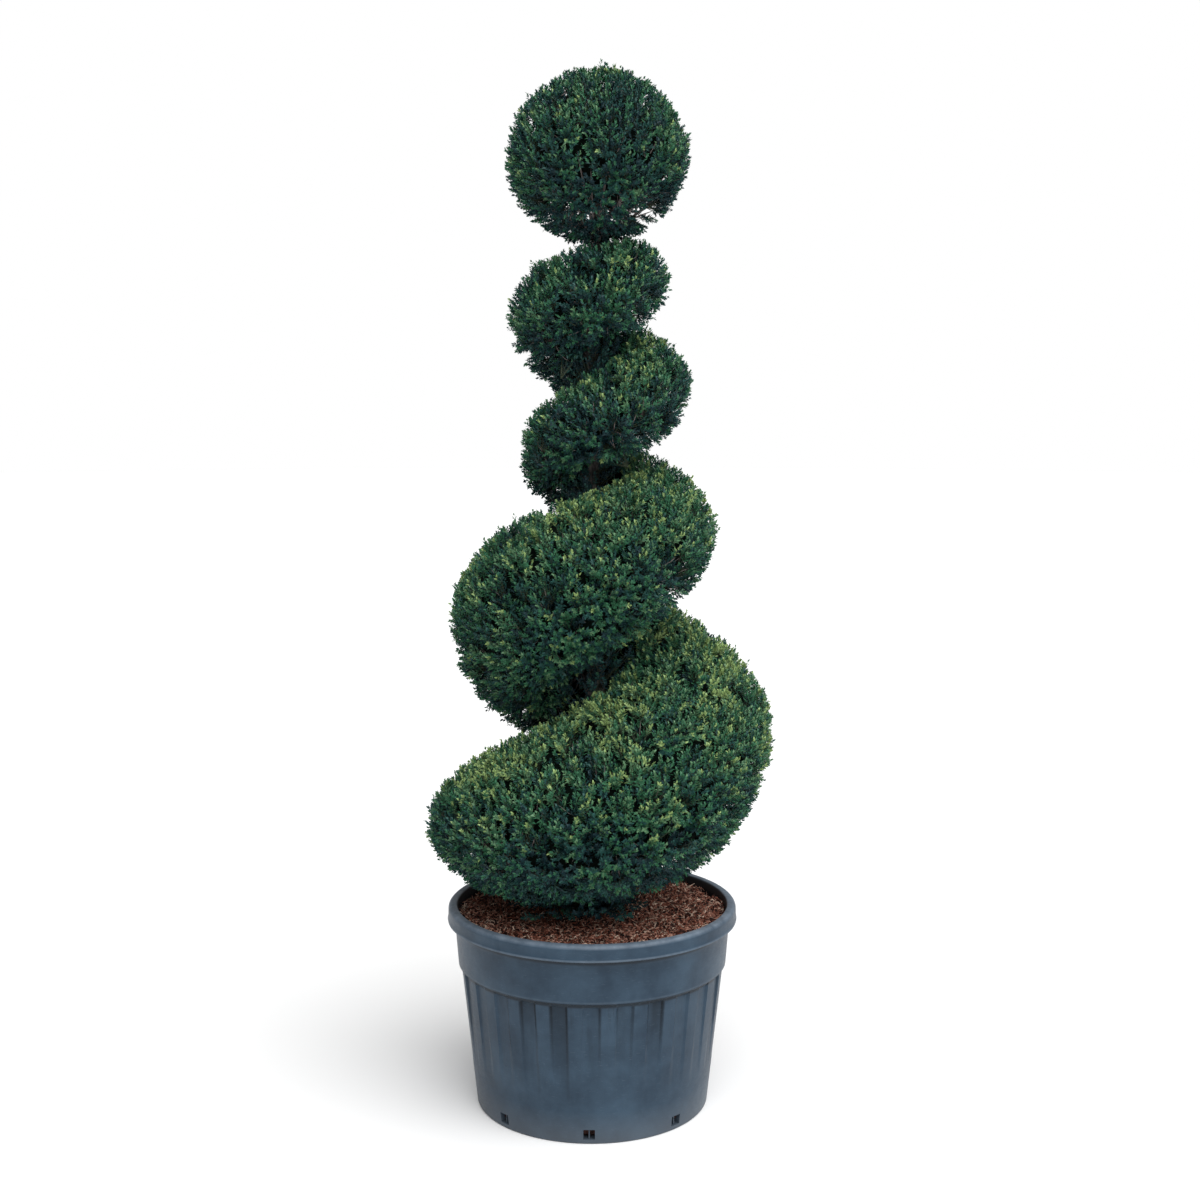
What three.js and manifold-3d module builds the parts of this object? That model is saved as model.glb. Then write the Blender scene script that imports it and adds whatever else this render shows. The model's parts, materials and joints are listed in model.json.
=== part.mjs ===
// A spiral topiary in its pot: a small-leaved evergreen, clipped so that its
// foliage climbs the trunk as a tapering screw and ends in a ball, in a round
// nursery pot filled to just under the rim.
// Millimetres, +Z up. The origin is the centre of the pot's flat underside.
// Angles are measured anticlockwise from +X, seen from above; the front is -Y.

import * as THREE from "three";
import { mergeVertices } from "three/addons/utils/BufferGeometryUtils.js";
import Module from "manifold-3d";

const wasm = await Module();
wasm.setup();

// ---------------------------------------------------------------- sizes

const GAP = 0.3; // clearance between pieces that touch on the real plant
const SPECK = 0.02; // edges shorter than this, left by fusing, are closed up

const POT = {
  height: 549,
  rimRadius: 394, // outside of the rolled lip
  mouthRadius: 367, // inside of the lip
  lipDrop: 44, // height of the lip's upright face
  lipRound: 12, // rounding of the lip's top edges
  cove: 6, // height of the hollow curve under the lip
  neckRadius: 371, // top of the smooth band, under the lip's cove
  neckHeight: 462,
  bandRadius: 365, // lower edge of the smooth band
  bandHeight: 389,
  wallRadius: 357, // fluted wall, just under the band
  heelRadius: 316, // fluted wall, where it turns in to the base
  heelRound: 6,
  floor: 12,
  floorRound: 12, // how far the inside's corner is cut off at the floor
  wall: 13,
  segments: 48,
};
const FRONT = -90; // degrees: a flute faces the front
const FLUTES = { count: 26, width: 40, depth: 7, top: 373, bottom: 120 };
const DRAINS = {
  count: 8,
  width: 30,
  height: 27,
  sill: 13, // height of the holes' lower edge, just above the pot's floor
  bar: 3, // the bar down the middle of each hole
  setBack: 5, // from the wall's face to the bar's
  reach: 30, // how far the cut goes to either side of the heel's radius
  turn: -1.2, // degrees from the front flute to the nearest hole
};

const SOIL = { height: 522, level: 90, lump: 5 };

const TRUNK = {
  footRadius: 37,
  tipRadius: 9,
  flare: 20, // extra radius of the root flare at the ground
  flareHeight: 55,
  buttress: 5, // depth of the flare's five folds
  tipHeight: 2480,
  lean: 16, // how far the tip stands off to the right
  sway: 7,
  sides: 10,
  rings: 16,
};

// The screw of foliage. "turn" counts half turns from the left-hand side:
// 0 left, 1 right, 2 left again one full turn higher. "height" is its middle,
// "reach" its outer edge from the axis, "rise" and "drop" its crown and belly.
const SCREW = [
  { turn: -0.35, height: 671, reach: 360, rise: 146, drop: 92 },
  { turn: 0, height: 754, reach: 439, rise: 222, drop: 168 },
  { turn: 1, height: 1019, reach: 481, rise: 279, drop: 315 },
  { turn: 2, height: 1325, reach: 378, rise: 263, drop: 267 },
  { turn: 3, height: 1583, reach: 324, rise: 164, drop: 182 },
  { turn: 4, height: 1762, reach: 198, rise: 131, drop: 95 },
  { turn: 5, height: 1957, reach: 267, rise: 121, drop: 148 },
  { turn: 6, height: 2115, reach: 221, rise: 157, drop: 124 },
  { turn: 7, height: 2239, reach: 203, rise: 98, drop: 119 },
  { turn: 7.7, height: 2293, reach: 150, rise: 28, drop: 62 },
];
// The section is widest at its middle. Its crown lies close to the trunk, so
// that the upper side slopes outwards. Its underside turns in halfway out and
// hangs a little lower, by the "skirt", where the boughs leave the trunk.
const SECTION = { inner: 50, crownAt: 0.255, bellyAt: 0.5, skirt: 0.4 };
const BEND = { crown: 2, belly: 1.8, skirt: 6 }; // 2 is an ellipse, more is squarer
// Bare space round the trunk. "lean" keeps its wall from folding onto itself.
const SHAFT = { foot: 96, top: 58, lean: 6 };
const DOME = 0.2; // length of the screw's rounded ends, in half turns
const MASSES = 14;

const BALL = { x: 17, height: 2538, radius: 243, crown: 240, belly: 218, sprays: 14 };

const SKIN = 16; // how far the cores lie inside the clipped outline
const CORE = { sides: 16, rings: 5, ringsAbove: 4, above: 300 }; // fewer rings on a small reach
const SPRAY = { spacing: 300, twig: 4, spread: 17 };
const LEAF = { length: 56, width: 32, depth: 4, root: 27, perSpray: 3 };
const BOUGH = { sides: 5, rings: 3, share: 0.42, taper: 0.6, rise: 0.9, stem: 50, short: 16 };

const FINISH = {
  pot: new THREE.MeshStandardMaterial({ color: 0x46555f, roughness: 0.55, metalness: 0 }),
  soil: new THREE.MeshStandardMaterial({ color: 0x5a3228, roughness: 0.95, metalness: 0 }),
  bark: new THREE.MeshStandardMaterial({ color: 0x6f6254, roughness: 0.9, metalness: 0 }),
  leaf: new THREE.MeshStandardMaterial({ color: 0x1f4a34, roughness: 0.6, metalness: 0 }),
};

// ---------------------------------------------------------------- helpers

const topiary = new THREE.Group();
const V = (x, y, z) => new THREE.Vector3(x, y, z);
const radians = THREE.MathUtils.degToRad;
const mix = THREE.MathUtils.lerp;

// A repeatable stream of numbers from 0 to 1.
function seeded(seed) {
  let state = seed;
  return () => {
    state = (state * 16807) % 2147483647;
    return state / 2147483647;
  };
}

function solid(geometry) {
  const bare = geometry.clone();
  bare.deleteAttribute("normal");
  bare.deleteAttribute("uv");
  const merged = mergeVertices(bare, 1e-3);
  const mesh = new wasm.Mesh({
    numProp: 3,
    vertProperties: new Float32Array(merged.attributes.position.array),
    triVerts: new Uint32Array(merged.index.array),
  });
  return new wasm.Manifold(mesh);
}

// Fusing can seal small hollows or cut off crumbs: only the outer body stays.
function wholeBody(made) {
  return made.decompose().reduce((best, body) => (body.volume() > best.volume() ? body : best));
}

// The same solid with its shortest edges drawn together to a point.
function withoutSpecks(made) {
  const { vertProperties, triVerts } = made.getMesh();
  const corner = (i) => new THREE.Vector3().fromArray(vertProperties, 3 * i);
  const drawnTo = new Map();
  const kept = (i) => (drawnTo.has(i) ? kept(drawnTo.get(i)) : i);
  triVerts.forEach((a, i) => {
    const b = triVerts[i % 3 === 2 ? i - 2 : i + 1];
    const ends = [kept(a), kept(b)];
    if (ends[0] !== ends[1] && corner(a).distanceTo(corner(b)) < SPECK) drawnTo.set(...ends);
  });
  const faces = [];
  for (let i = 0; i < triVerts.length; i += 3) {
    const face = [0, 1, 2].map((k) => kept(triVerts[i + k]));
    if (new Set(face).size === 3) faces.push(...face);
  }
  return new wasm.Manifold(new wasm.Mesh({ numProp: 3, vertProperties, triVerts: new Uint32Array(faces) }));
}

function place(name, made, material) {
  const { vertProperties, triVerts } = withoutSpecks(wholeBody(made)).getMesh();
  const geometry = new THREE.BufferGeometry();
  geometry.setAttribute("position", new THREE.BufferAttribute(vertProperties, 3));
  geometry.setIndex(new THREE.BufferAttribute(triVerts, 1));
  const mesh = new THREE.Mesh(geometry, material);
  mesh.name = name;
  topiary.add(mesh);
}

// Moves every vertex of a geometry to where the rule puts it.
function reshape(geometry, rule) {
  const at = geometry.attributes.position;
  for (let i = 0; i < at.count; i++) {
    const p = rule(V(at.getX(i), at.getY(i), at.getZ(i)));
    at.setXYZ(i, p.x, p.y, p.z);
  }
  return geometry;
}

// A tapering limb: a cylinder bent along a curve.
function limb(curve, radiusAt, sides, rings) {
  const tube = new THREE.CylinderGeometry(1, 1, 1, sides, rings);
  return solid(
    reshape(tube, (v) => {
      const t = Math.min(1, Math.max(0, v.y + 0.5));
      const along = curve.getTangent(t);
      const across = Math.abs(along.z) < 0.95 ? V(0, 0, 1) : V(1, 0, 0);
      const side = across.cross(along).normalize();
      const over = side.clone().cross(along);
      const radius = radiusAt(t);
      return curve.getPoint(t).addScaledVector(side, v.x * radius).addScaledVector(over, v.z * radius);
    }),
  );
}

// Smooth value of one of the screw's sizes at any turn (cubic Hermite).
function screwSize(key, turn) {
  const last = SCREW.length - 2;
  let i = SCREW.findIndex((s, n) => n === last || turn < SCREW[n + 1].turn);
  i = Math.min(i, last);
  const slope = (n) => {
    const a = SCREW[Math.max(0, n - 1)];
    const b = SCREW[Math.min(SCREW.length - 1, n + 1)];
    return (b[key] - a[key]) / (b.turn - a.turn);
  };
  const [a, b] = [SCREW[i], SCREW[i + 1]];
  const span = b.turn - a.turn;
  const s = (turn - a.turn) / span;
  const s2 = s * s;
  const s3 = s2 * s;
  return (
    (2 * s3 - 3 * s2 + 1) * a[key] +
    (s3 - 2 * s2 + s) * span * slope(i) +
    (3 * s2 - 2 * s3) * b[key] +
    (s3 - s2) * span * slope(i + 1)
  );
}

// ---------------------------------------------------------------- pot and soil

function potWallRadius(z) {
  return mix(POT.heelRadius, POT.wallRadius, (z - POT.heelRound) / (FLUTES.top - POT.heelRound));
}

function potInside() {
  const corner = POT.floor + POT.floorRound;
  return [
    [0, POT.floor],
    [POT.heelRadius - POT.wall - POT.floorRound, POT.floor],
    [potWallRadius(corner) - POT.wall, corner],
    [POT.wallRadius - POT.wall, FLUTES.top],
    [POT.neckRadius - POT.wall, POT.neckHeight],
    [POT.mouthRadius - POT.lipRound / 2, POT.height - POT.lipDrop],
    [POT.mouthRadius, POT.height - POT.lipRound],
  ];
}

function potGeometry() {
  const { rimRadius, mouthRadius, neckRadius, height, heelRound, lipRound, cove } = POT;
  const corner = POT.heelRadius - heelRound;
  const lipBottom = height - POT.lipDrop;
  const outline = new THREE.Path();
  outline.moveTo(0, 0);
  outline.lineTo(corner, 0);
  outline.absarc(corner, heelRound, heelRound, -Math.PI / 2, 0, false);
  outline.lineTo(POT.wallRadius, FLUTES.top);
  outline.lineTo(POT.bandRadius, POT.bandHeight);
  outline.lineTo(neckRadius, POT.neckHeight);
  outline.quadraticCurveTo(neckRadius + cove / 2, lipBottom - cove, rimRadius - lipRound, lipBottom);
  outline.lineTo(rimRadius, lipBottom + cove);
  outline.lineTo(rimRadius, height - lipRound);
  outline.quadraticCurveTo(rimRadius, height, rimRadius - lipRound, height);
  outline.lineTo(mouthRadius + lipRound, height);
  const points = outline.getPoints(2).concat(potInside().reverse().map(([r, z]) => new THREE.Vector2(r, z)));
  const turned = new THREE.LatheGeometry(points, POT.segments);
  return turned.rotateX(Math.PI / 2);
}

// The recesses between the staves are deepest under the band and run out
// towards the foot of the wall.
function fluteCutter() {
  const clear = 20;
  const side = new THREE.Shape([
    new THREE.Vector2(potWallRadius(FLUTES.top) - FLUTES.depth, FLUTES.top),
    new THREE.Vector2(potWallRadius(FLUTES.bottom), FLUTES.bottom),
    new THREE.Vector2(potWallRadius(FLUTES.bottom) + clear, FLUTES.bottom),
    new THREE.Vector2(potWallRadius(FLUTES.top) + clear, FLUTES.top),
  ]);
  const slab = new THREE.ExtrudeGeometry(side, { depth: FLUTES.width, bevelEnabled: false });
  return slab.translate(0, 0, -FLUTES.width / 2).rotateX(Math.PI / 2);
}

// A drain hole, with an upright bar left standing in its inner part.
function drainCutter() {
  const { width, height, sill, bar, setBack, reach } = DRAINS;
  const hole = new THREE.BoxGeometry(2 * reach, width, height);
  const post = new THREE.BoxGeometry(reach, bar, 2 * height);
  hole.translate(POT.heelRadius, 0, 0);
  post.translate(POT.heelRadius - setBack - reach / 2, 0, 0);
  return solid(hole).subtract(solid(post)).translate([0, 0, sill + height / 2]);
}

function makePot() {
  let pot = solid(potGeometry());
  const flute = fluteCutter();
  for (let i = 0; i < FLUTES.count; i++) {
    const turn = FRONT + (i / FLUTES.count) * 360;
    pot = pot.subtract(solid(flute.clone().rotateZ(radians(turn))));
  }
  const drain = drainCutter();
  for (let i = 0; i < DRAINS.count; i++) {
    const turn = FRONT + DRAINS.turn + (i / DRAINS.count) * 360;
    pot = pot.subtract(drain.rotate([0, 0, turn]));
  }
  place("pot", pot, FINISH.pot);
}

// Bark mulch over the root ball, one solid that fills the pot. It is level
// where the trunk stands and lumpy further out.
function makeSoil() {
  const wall = potInside().filter(([, z]) => z < SOIL.height);
  const [[r0, z0], [r1, z1]] = potInside().slice(-2);
  const edge = mix(r0, r1, (SOIL.height - z0) / (z1 - z0)) - GAP;
  const fill = wall.map(([r, z]) => new THREE.Vector2(Math.max(0, r - GAP), z));
  fill[0].y = fill[1].y = POT.floor + GAP;
  const top = [1, 0.78, 0.5, SOIL.level / edge, 0];
  const points = fill.concat(top.map((share) => new THREE.Vector2(edge * share, SOIL.height)));
  const turned = new THREE.LatheGeometry(points, POT.segments).rotateX(Math.PI / 2);
  const lumpy = reshape(turned, (v) => {
    const r = Math.hypot(v.x, v.y);
    const onTop = v.z > SOIL.height - 1 && r > SOIL.level + 1 && r < edge - 1;
    const angle = Math.atan2(v.y, v.x);
    const lump = Math.sin(5 * angle + r / 31) + Math.sin(11 * angle - r / 17);
    return onTop ? v.setZ(v.z + (SOIL.lump / 2) * lump) : v;
  });
  place("mulch", solid(lumpy), FINISH.soil);
}

// ---------------------------------------------------------------- trunk

const GROUND = SOIL.height + GAP;

// The trunk's centre line leans to the right and sways a little on its way up.
class TrunkLine extends THREE.Curve {
  constructor(extra = 0) {
    super();
    this.tip = TRUNK.tipHeight + extra;
  }

  getPoint(t) {
    const z = mix(GROUND, this.tip, t);
    const s = (z - GROUND) / (TRUNK.tipHeight - GROUND);
    const x = TRUNK.lean * s * s + TRUNK.sway * Math.sin(2 * Math.PI * s);
    return V(x, TRUNK.sway * 0.6 * Math.sin(3 * Math.PI * s), z);
  }
}

function trunkRadius(z, angle = 0) {
  const s = (z - GROUND) / (TRUNK.tipHeight - GROUND);
  const fade = Math.exp((GROUND - z) / TRUNK.flareHeight);
  const fold = TRUNK.buttress * Math.cos(5 * angle);
  return mix(TRUNK.footRadius, TRUNK.tipRadius, s ** 0.8) + fade * (TRUNK.flare + fold);
}

// Rings crowd towards the foot, where the flare curves most.
function trunkSolid(grown) {
  const line = new TrunkLine(grown);
  const tube = new THREE.CylinderGeometry(1, 1, 1, TRUNK.sides, TRUNK.rings);
  return solid(
    reshape(tube, (v) => {
      const centre = line.getPoint((v.y + 0.5) ** 1.7);
      const angle = Math.atan2(-v.z, v.x);
      const radius = (trunkRadius(centre.z, angle) + grown) * Math.hypot(v.x, v.z);
      return centre.add(V(Math.cos(angle) * radius, Math.sin(angle) * radius, 0));
    }),
  );
}

const roomForTrunk = trunkSolid(1.2 * GAP);

// ---------------------------------------------------------------- screw of foliage

function shaftRadius(turn) {
  return mix(SHAFT.foot, SHAFT.top, (turn - SCREW[0].turn) / (SCREW.at(-1).turn - SCREW[0].turn));
}

// Shears leave the foliage slightly uneven.
function unevenness(turn, around) {
  return 5 * Math.sin(7.3 * turn + 2 * around) + 4 * Math.sin(15.1 * turn - 3 * around + 1);
}

// The screw's section at a turn: its heart, and its outline "inset" inside the
// clipped surface, for an angle round the section (0 outwards, 90 degrees up).
function sectionAt(turn, around, inset) {
  const c = Math.cos(around);
  const up = Math.sin(around) > 0;
  const under = !up && c < 0;
  const bend = 2 / (up ? BEND.crown : under ? BEND.skirt : BEND.belly);
  const shaft = shaftRadius(turn);
  const height = screwSize("height", turn);
  const reach = screwSize("reach", turn) - inset + unevenness(turn, around);
  const ridge = mix(SECTION.inner, reach, up ? SECTION.crownAt : SECTION.bellyAt);
  const wide = c > 0 ? reach - ridge : SECTION.inner - ridge;
  const drop = -(screwSize("drop", turn) - inset) * (under ? 1 - SECTION.skirt * c : 1);
  const tall = up ? screwSize("rise", turn) - inset : drop;
  const r = ridge + wide * Math.abs(c) ** bend;
  const z = height + tall * Math.abs(Math.sin(around)) ** bend;
  const heart = Math.max(mix(SECTION.inner, reach, SECTION.bellyAt), shaft + 10);
  return { heart: [heart, height], edge: [Math.max(r, shaft + SHAFT.lean * (1 + c)), z] };
}

// A point of the screw: "share" of the way from the section's heart to its edge.
function screwPoint(turn, around, inset, share = 1) {
  const { heart, edge } = sectionAt(turn, around, inset);
  const r = mix(heart[0], edge[0], share);
  const z = mix(heart[1], edge[1], share);
  const angle = Math.PI * (1 + turn);
  return V(r * Math.cos(angle), r * Math.sin(angle), z);
}

// How much of the section is left near the screw's two rounded ends.
function endShare(turn) {
  const fromEnd = Math.min(turn - SCREW[0].turn, SCREW.at(-1).turn - turn);
  const s = THREE.MathUtils.clamp(1 - fromEnd / DOME, 0, 1);
  return Math.max(0.12, Math.sqrt(1 - s * s));
}

function screwCore(from, to) {
  const rings = screwSize("reach", mix(from, to, 0.5)) > CORE.above ? CORE.rings : CORE.ringsAbove;
  const open = new THREE.CylinderGeometry(1, 1, 1, CORE.sides, rings);
  const first = from <= SCREW[0].turn;
  const last = to >= SCREW.at(-1).turn;
  return solid(
    reshape(open, (v) => {
      let t = v.y + 0.5;
      if (first) t = t ** 1.6; // rings crowd towards a rounded end
      if (last) t = 1 - (1 - t) ** 1.6;
      const turn = mix(from, to, t);
      return screwPoint(turn, Math.atan2(v.z, v.x), SKIN, Math.hypot(v.x, v.z) * endShare(turn));
    }),
  );
}

// ---------------------------------------------------------------- twigs and leaves

// A leaf of eight faces, its root at the origin and its tip along +X.
function leaf(length, width, depth) {
  const blade = new THREE.OctahedronGeometry(0.5).scale(length, width, depth);
  return blade.translate(length / 2, 0, 0);
}

function aimed(geometry, root, along, roll) {
  const turn = new THREE.Quaternion().setFromUnitVectors(V(1, 0, 0), along);
  const spin = new THREE.Quaternion().setFromAxisAngle(along, roll);
  return geometry.applyQuaternion(spin.multiply(turn)).translate(root.x, root.y, root.z);
}

const limbs = [roomForTrunk];
const masses = {}; // the foliage so far, by name

// True where a leaf or twig, with a little room round it, meets no limb and no
// mass but its own.
function meetsNothing(piece, own) {
  const roomy = piece.translate([0, 0, 1]).add(piece.translate([0, 0, -1]));
  const others = Object.keys(masses).filter((name) => name !== own);
  return [...limbs, ...others.map((name) => masses[name])].every((other) => roomy.intersect(other).isEmpty());
}

// One spray: a three-sided twig that branches from the mass's heart and comes
// out of the core, with leaves round it whose roots are sunk in the core. What
// would leave the mass's own space is left off.
function spray(heart, skin, out, random, isFree) {
  const made = [];
  const path = new THREE.LineCurve3(heart, skin.clone().addScaledVector(out, SKIN * 0.9));
  const twig = limb(path, (t) => mix(SPRAY.twig * 1.6, SPRAY.twig * 0.5, t), 3, 1);
  if (isFree(twig)) made.push(twig);
  const side = (Math.abs(out.z) < 0.95 ? V(0, 0, 1) : V(1, 0, 0)).cross(out).normalize();
  const over = out.clone().cross(side);
  const start = random() * 2 * Math.PI;
  for (let k = 0; k < LEAF.perSpray; k++) {
    const angle = start + (k * 2 * Math.PI) / LEAF.perSpray;
    const away = side.clone().multiplyScalar(Math.cos(angle)).addScaledVector(over, Math.sin(angle));
    const along = out.clone().addScaledVector(away, 0.3 + 0.35 * random());
    along.add(V(0, 0, 0.2)).normalize();
    const size = 0.85 + 0.3 * random();
    const root = skin.clone().addScaledVector(away, SPRAY.spread).addScaledVector(along, -LEAF.root);
    const blade = leaf(LEAF.length * size, LEAF.width * size, LEAF.depth);
    const ready = solid(aimed(blade, root, along, random() * Math.PI));
    if (isFree(ready)) made.push(ready);
  }
  return made;
}

// ---------------------------------------------------------------- boughs and masses of the screw

const SPAN = (SCREW.at(-1).turn - SCREW[0].turn) / MASSES;
const massName = (index) => String(index + 1).padStart(2, "0");
const massStart = (index) => SCREW[0].turn + index * SPAN;

// Bough and stem of one mass share a line: the bough springs from the trunk,
// and the mass's own stem takes over just short of the core.
function boughAndStem(turn) {
  const shaft = shaftRadius(turn);
  const height = screwSize("height", turn);
  const angle = Math.PI * (1 + turn);
  const outward = V(Math.cos(angle), Math.sin(angle), 0);
  const foot = height - shaft * BOUGH.rise;
  const centre = new TrunkLine().getPoint((foot - GROUND) / (TRUNK.tipHeight - GROUND));
  const elbow = outward.clone().multiplyScalar(shaft * 0.6).setZ(height - shaft * 0.3);
  const joint = outward.clone().multiplyScalar(shaft - BOUGH.short).setZ(height);
  const along = joint.clone().sub(elbow).normalize();
  const thick = trunkRadius(foot) * BOUGH.share;
  const thin = thick * BOUGH.taper;
  const boughPath = new THREE.QuadraticBezierCurve3(centre, elbow, joint);
  const bough = limb(boughPath, (t) => mix(thick, thin, t), BOUGH.sides, BOUGH.rings);
  const onward = (distance) => joint.clone().addScaledVector(along, distance);
  const stemPath = new THREE.LineCurve3(onward(GAP), onward(BOUGH.stem));
  const stem = limb(stemPath, (t) => mix(thin, thin * 0.7, t), BOUGH.sides, 1);
  return { bough: bough.subtract(roomForTrunk), stem };
}

// True where a piece stays between its own mass's two end planes.
function between(from, to) {
  const middle = Math.PI * (1 + (from + to) / 2);
  const halfWidth = (Math.PI * (to - from)) / 2;
  return (piece) => {
    const { vertProperties } = piece.getMesh();
    for (let i = 0; i < vertProperties.length; i += 3) {
      const [x, y] = vertProperties.slice(i, i + 2);
      const ahead = x * Math.cos(middle) + y * Math.sin(middle);
      const aside = y * Math.cos(middle) - x * Math.sin(middle);
      const off = Math.abs(Math.atan2(aside, ahead));
      if (Math.hypot(x, y) * Math.sin(halfWidth - off) < 1) return false;
    }
    return true;
  };
}

// The stretch of the screw that a mass fills, clear of its neighbours.
function massEnds(index) {
  const slack = (0.65 * GAP) / (SHAFT.top * Math.PI);
  const start = massStart(index) + (index > 0 ? slack : 0);
  const end = massStart(index + 1) - (index < MASSES - 1 ? slack : 0);
  return [start, end];
}

// Twigs are dealt out evenly over the outer side of the section.
function growScrewMass(index) {
  const random = seeded(101 + 37 * index);
  const name = "spiral_mass_" + massName(index);
  const [start, end] = massEnds(index);
  const middle = mix(start, end, 0.5);
  const staysIn = between(start, end);
  const isFree = (piece) => staysIn(piece) && meetsNothing(piece, name);
  const girth = 2 * (screwSize("reach", middle) - shaftRadius(middle)) + screwSize("drop", middle);
  const length = Math.PI * (end - start) * screwSize("reach", middle) * 0.8;
  const sprays = Math.max(4, Math.round((girth * length) / SPRAY.spacing ** 2) + 2);
  for (let k = 0; k < sprays; k++) {
    const t = (0.31 + k * 0.618 + random() * 0.1) % 1;
    const turn = mix(start + 0.07, end - 0.07, t);
    const around = mix(-0.72, 0.78, (k + random()) / sprays) * Math.PI;
    const share = endShare(turn);
    const skin = screwPoint(turn, around, SKIN, share);
    const heart = screwPoint(turn, around, SKIN, share * 0.3);
    const out = skin.clone().sub(heart).normalize();
    for (const piece of spray(heart, skin, out, random, isFree)) masses[name] = masses[name].add(piece);
  }
}

function makeBoughsAndCores() {
  for (let i = 0; i < MASSES; i++) {
    const { bough, stem } = boughAndStem(massStart(i + 0.5));
    place("bough_" + massName(i), bough, FINISH.bark);
    limbs.push(bough);
    masses["spiral_mass_" + massName(i)] = screwCore(...massEnds(i)).add(stem);
  }
}

// ---------------------------------------------------------------- ball

function ballPoint(direction, inset) {
  const tall = direction.z > 0 ? BALL.crown : BALL.belly;
  const r = BALL.radius - inset;
  return V(BALL.x + direction.x * r, direction.y * r, BALL.height + direction.z * (tall - inset));
}

// The ball's core closes over the trunk's tip.
function makeBallCore() {
  const round = new THREE.SphereGeometry(1, 14, 9).rotateX(Math.PI / 2);
  masses.top_ball = solid(reshape(round, (v) => ballPoint(v, SKIN))).subtract(roomForTrunk);
}

function growBall() {
  const random = seeded(977);
  const isFree = (piece) => meetsNothing(piece, "top_ball");
  for (let k = 0; k < BALL.sprays; k++) {
    const z = 1 - (2 * (k + 0.2)) / BALL.sprays;
    const angle = k * radians(137.5) + random() * 0.3;
    const flat = Math.sqrt(1 - z * z);
    const out = V(flat * Math.cos(angle), flat * Math.sin(angle), z);
    const skin = ballPoint(out, SKIN);
    const heart = skin.clone().addScaledVector(out, -BALL.radius * 0.5);
    for (const piece of spray(heart, skin, out, random, isFree)) masses.top_ball = masses.top_ball.add(piece);
  }
}

// ---------------------------------------------------------------- the whole plant

makePot();
makeSoil();
place("trunk", trunkSolid(0), FINISH.bark);
makeBoughsAndCores();
makeBallCore();
for (let i = 0; i < MASSES; i++) growScrewMass(i);
growBall();
for (const [name, mass] of Object.entries(masses)) place(name, mass, FINISH.leaf);

export default topiary;
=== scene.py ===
# %% [markdown]
# # A spiral topiary in its pot
#
# The object is a small-leaved evergreen that has been clipped for years into a screw of foliage with a ball
# on top. It grows in a round nursery pot, filled with bark mulch to just under the rim. The lesson makes it
# from the ground up: the pot, the mulch, the trunk and its boughs, and then the foliage, which is grown by
# the same rule as the plain solids of the frame and carried on to real twigs and leaves.
#
# The sizes are in millimetres, because that is how a gardener and a mould maker would give them. Blender
# works in metres, so every mesh is scaled by MM when it is made.

# %% Libraries and the frame
import json
import math

import bmesh
import bpy
import numpy as np
from mathutils import Matrix, Vector, noise

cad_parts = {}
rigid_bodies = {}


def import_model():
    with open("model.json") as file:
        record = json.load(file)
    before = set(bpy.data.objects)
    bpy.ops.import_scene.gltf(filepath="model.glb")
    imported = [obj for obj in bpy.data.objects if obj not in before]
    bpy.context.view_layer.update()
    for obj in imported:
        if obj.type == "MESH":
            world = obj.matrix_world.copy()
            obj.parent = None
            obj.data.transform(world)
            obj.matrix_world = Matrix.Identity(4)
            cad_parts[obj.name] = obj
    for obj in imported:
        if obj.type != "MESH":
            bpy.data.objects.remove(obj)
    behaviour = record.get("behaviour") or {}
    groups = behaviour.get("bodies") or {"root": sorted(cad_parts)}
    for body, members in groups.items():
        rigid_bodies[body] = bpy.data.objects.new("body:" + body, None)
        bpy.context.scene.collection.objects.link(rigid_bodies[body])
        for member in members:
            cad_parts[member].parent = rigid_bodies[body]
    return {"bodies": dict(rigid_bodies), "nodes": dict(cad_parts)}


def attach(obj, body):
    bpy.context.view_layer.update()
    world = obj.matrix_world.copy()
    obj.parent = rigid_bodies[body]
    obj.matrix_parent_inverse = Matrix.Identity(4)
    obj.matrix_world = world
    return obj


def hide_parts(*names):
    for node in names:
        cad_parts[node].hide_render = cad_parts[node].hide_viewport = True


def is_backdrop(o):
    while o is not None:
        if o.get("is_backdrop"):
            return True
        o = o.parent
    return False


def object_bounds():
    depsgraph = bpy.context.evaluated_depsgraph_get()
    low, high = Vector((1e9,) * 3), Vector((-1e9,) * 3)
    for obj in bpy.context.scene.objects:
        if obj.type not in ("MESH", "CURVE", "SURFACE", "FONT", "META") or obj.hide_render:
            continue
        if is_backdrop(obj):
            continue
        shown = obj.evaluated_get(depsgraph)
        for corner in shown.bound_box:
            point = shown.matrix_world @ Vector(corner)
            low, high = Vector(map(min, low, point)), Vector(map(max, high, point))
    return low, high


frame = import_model()
cad_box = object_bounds()
BODY = next(iter(frame["bodies"]))
MM = 0.001
print("frame nodes:", len(frame["nodes"]), "box:", [tuple(round(c, 3) for c in corner) for corner in cad_box])

# %% [markdown]
# ## Camera
#
# The plant is seen from about two thirds of its height with a normal lens, looking down by five degrees. A
# small downward shift keeps the whole plant in the picture without tilting the camera further.

# %% Camera
CAMERA_PLACE = (0.0214, -4.493, 1.922)
CAMERA_TILT = 85  # degrees from looking straight down
camera_data = bpy.data.cameras.new("camera")
camera_data.sensor_width = 36
camera_data.lens = 50.37
camera_data.shift_y = -0.0475
camera = bpy.data.objects.new("camera", camera_data)
camera.location = CAMERA_PLACE
camera.rotation_euler = (math.radians(CAMERA_TILT), 0, 0)
bpy.context.scene.collection.objects.link(camera)
bpy.context.scene.camera = camera
print("camera at", CAMERA_PLACE)

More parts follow.
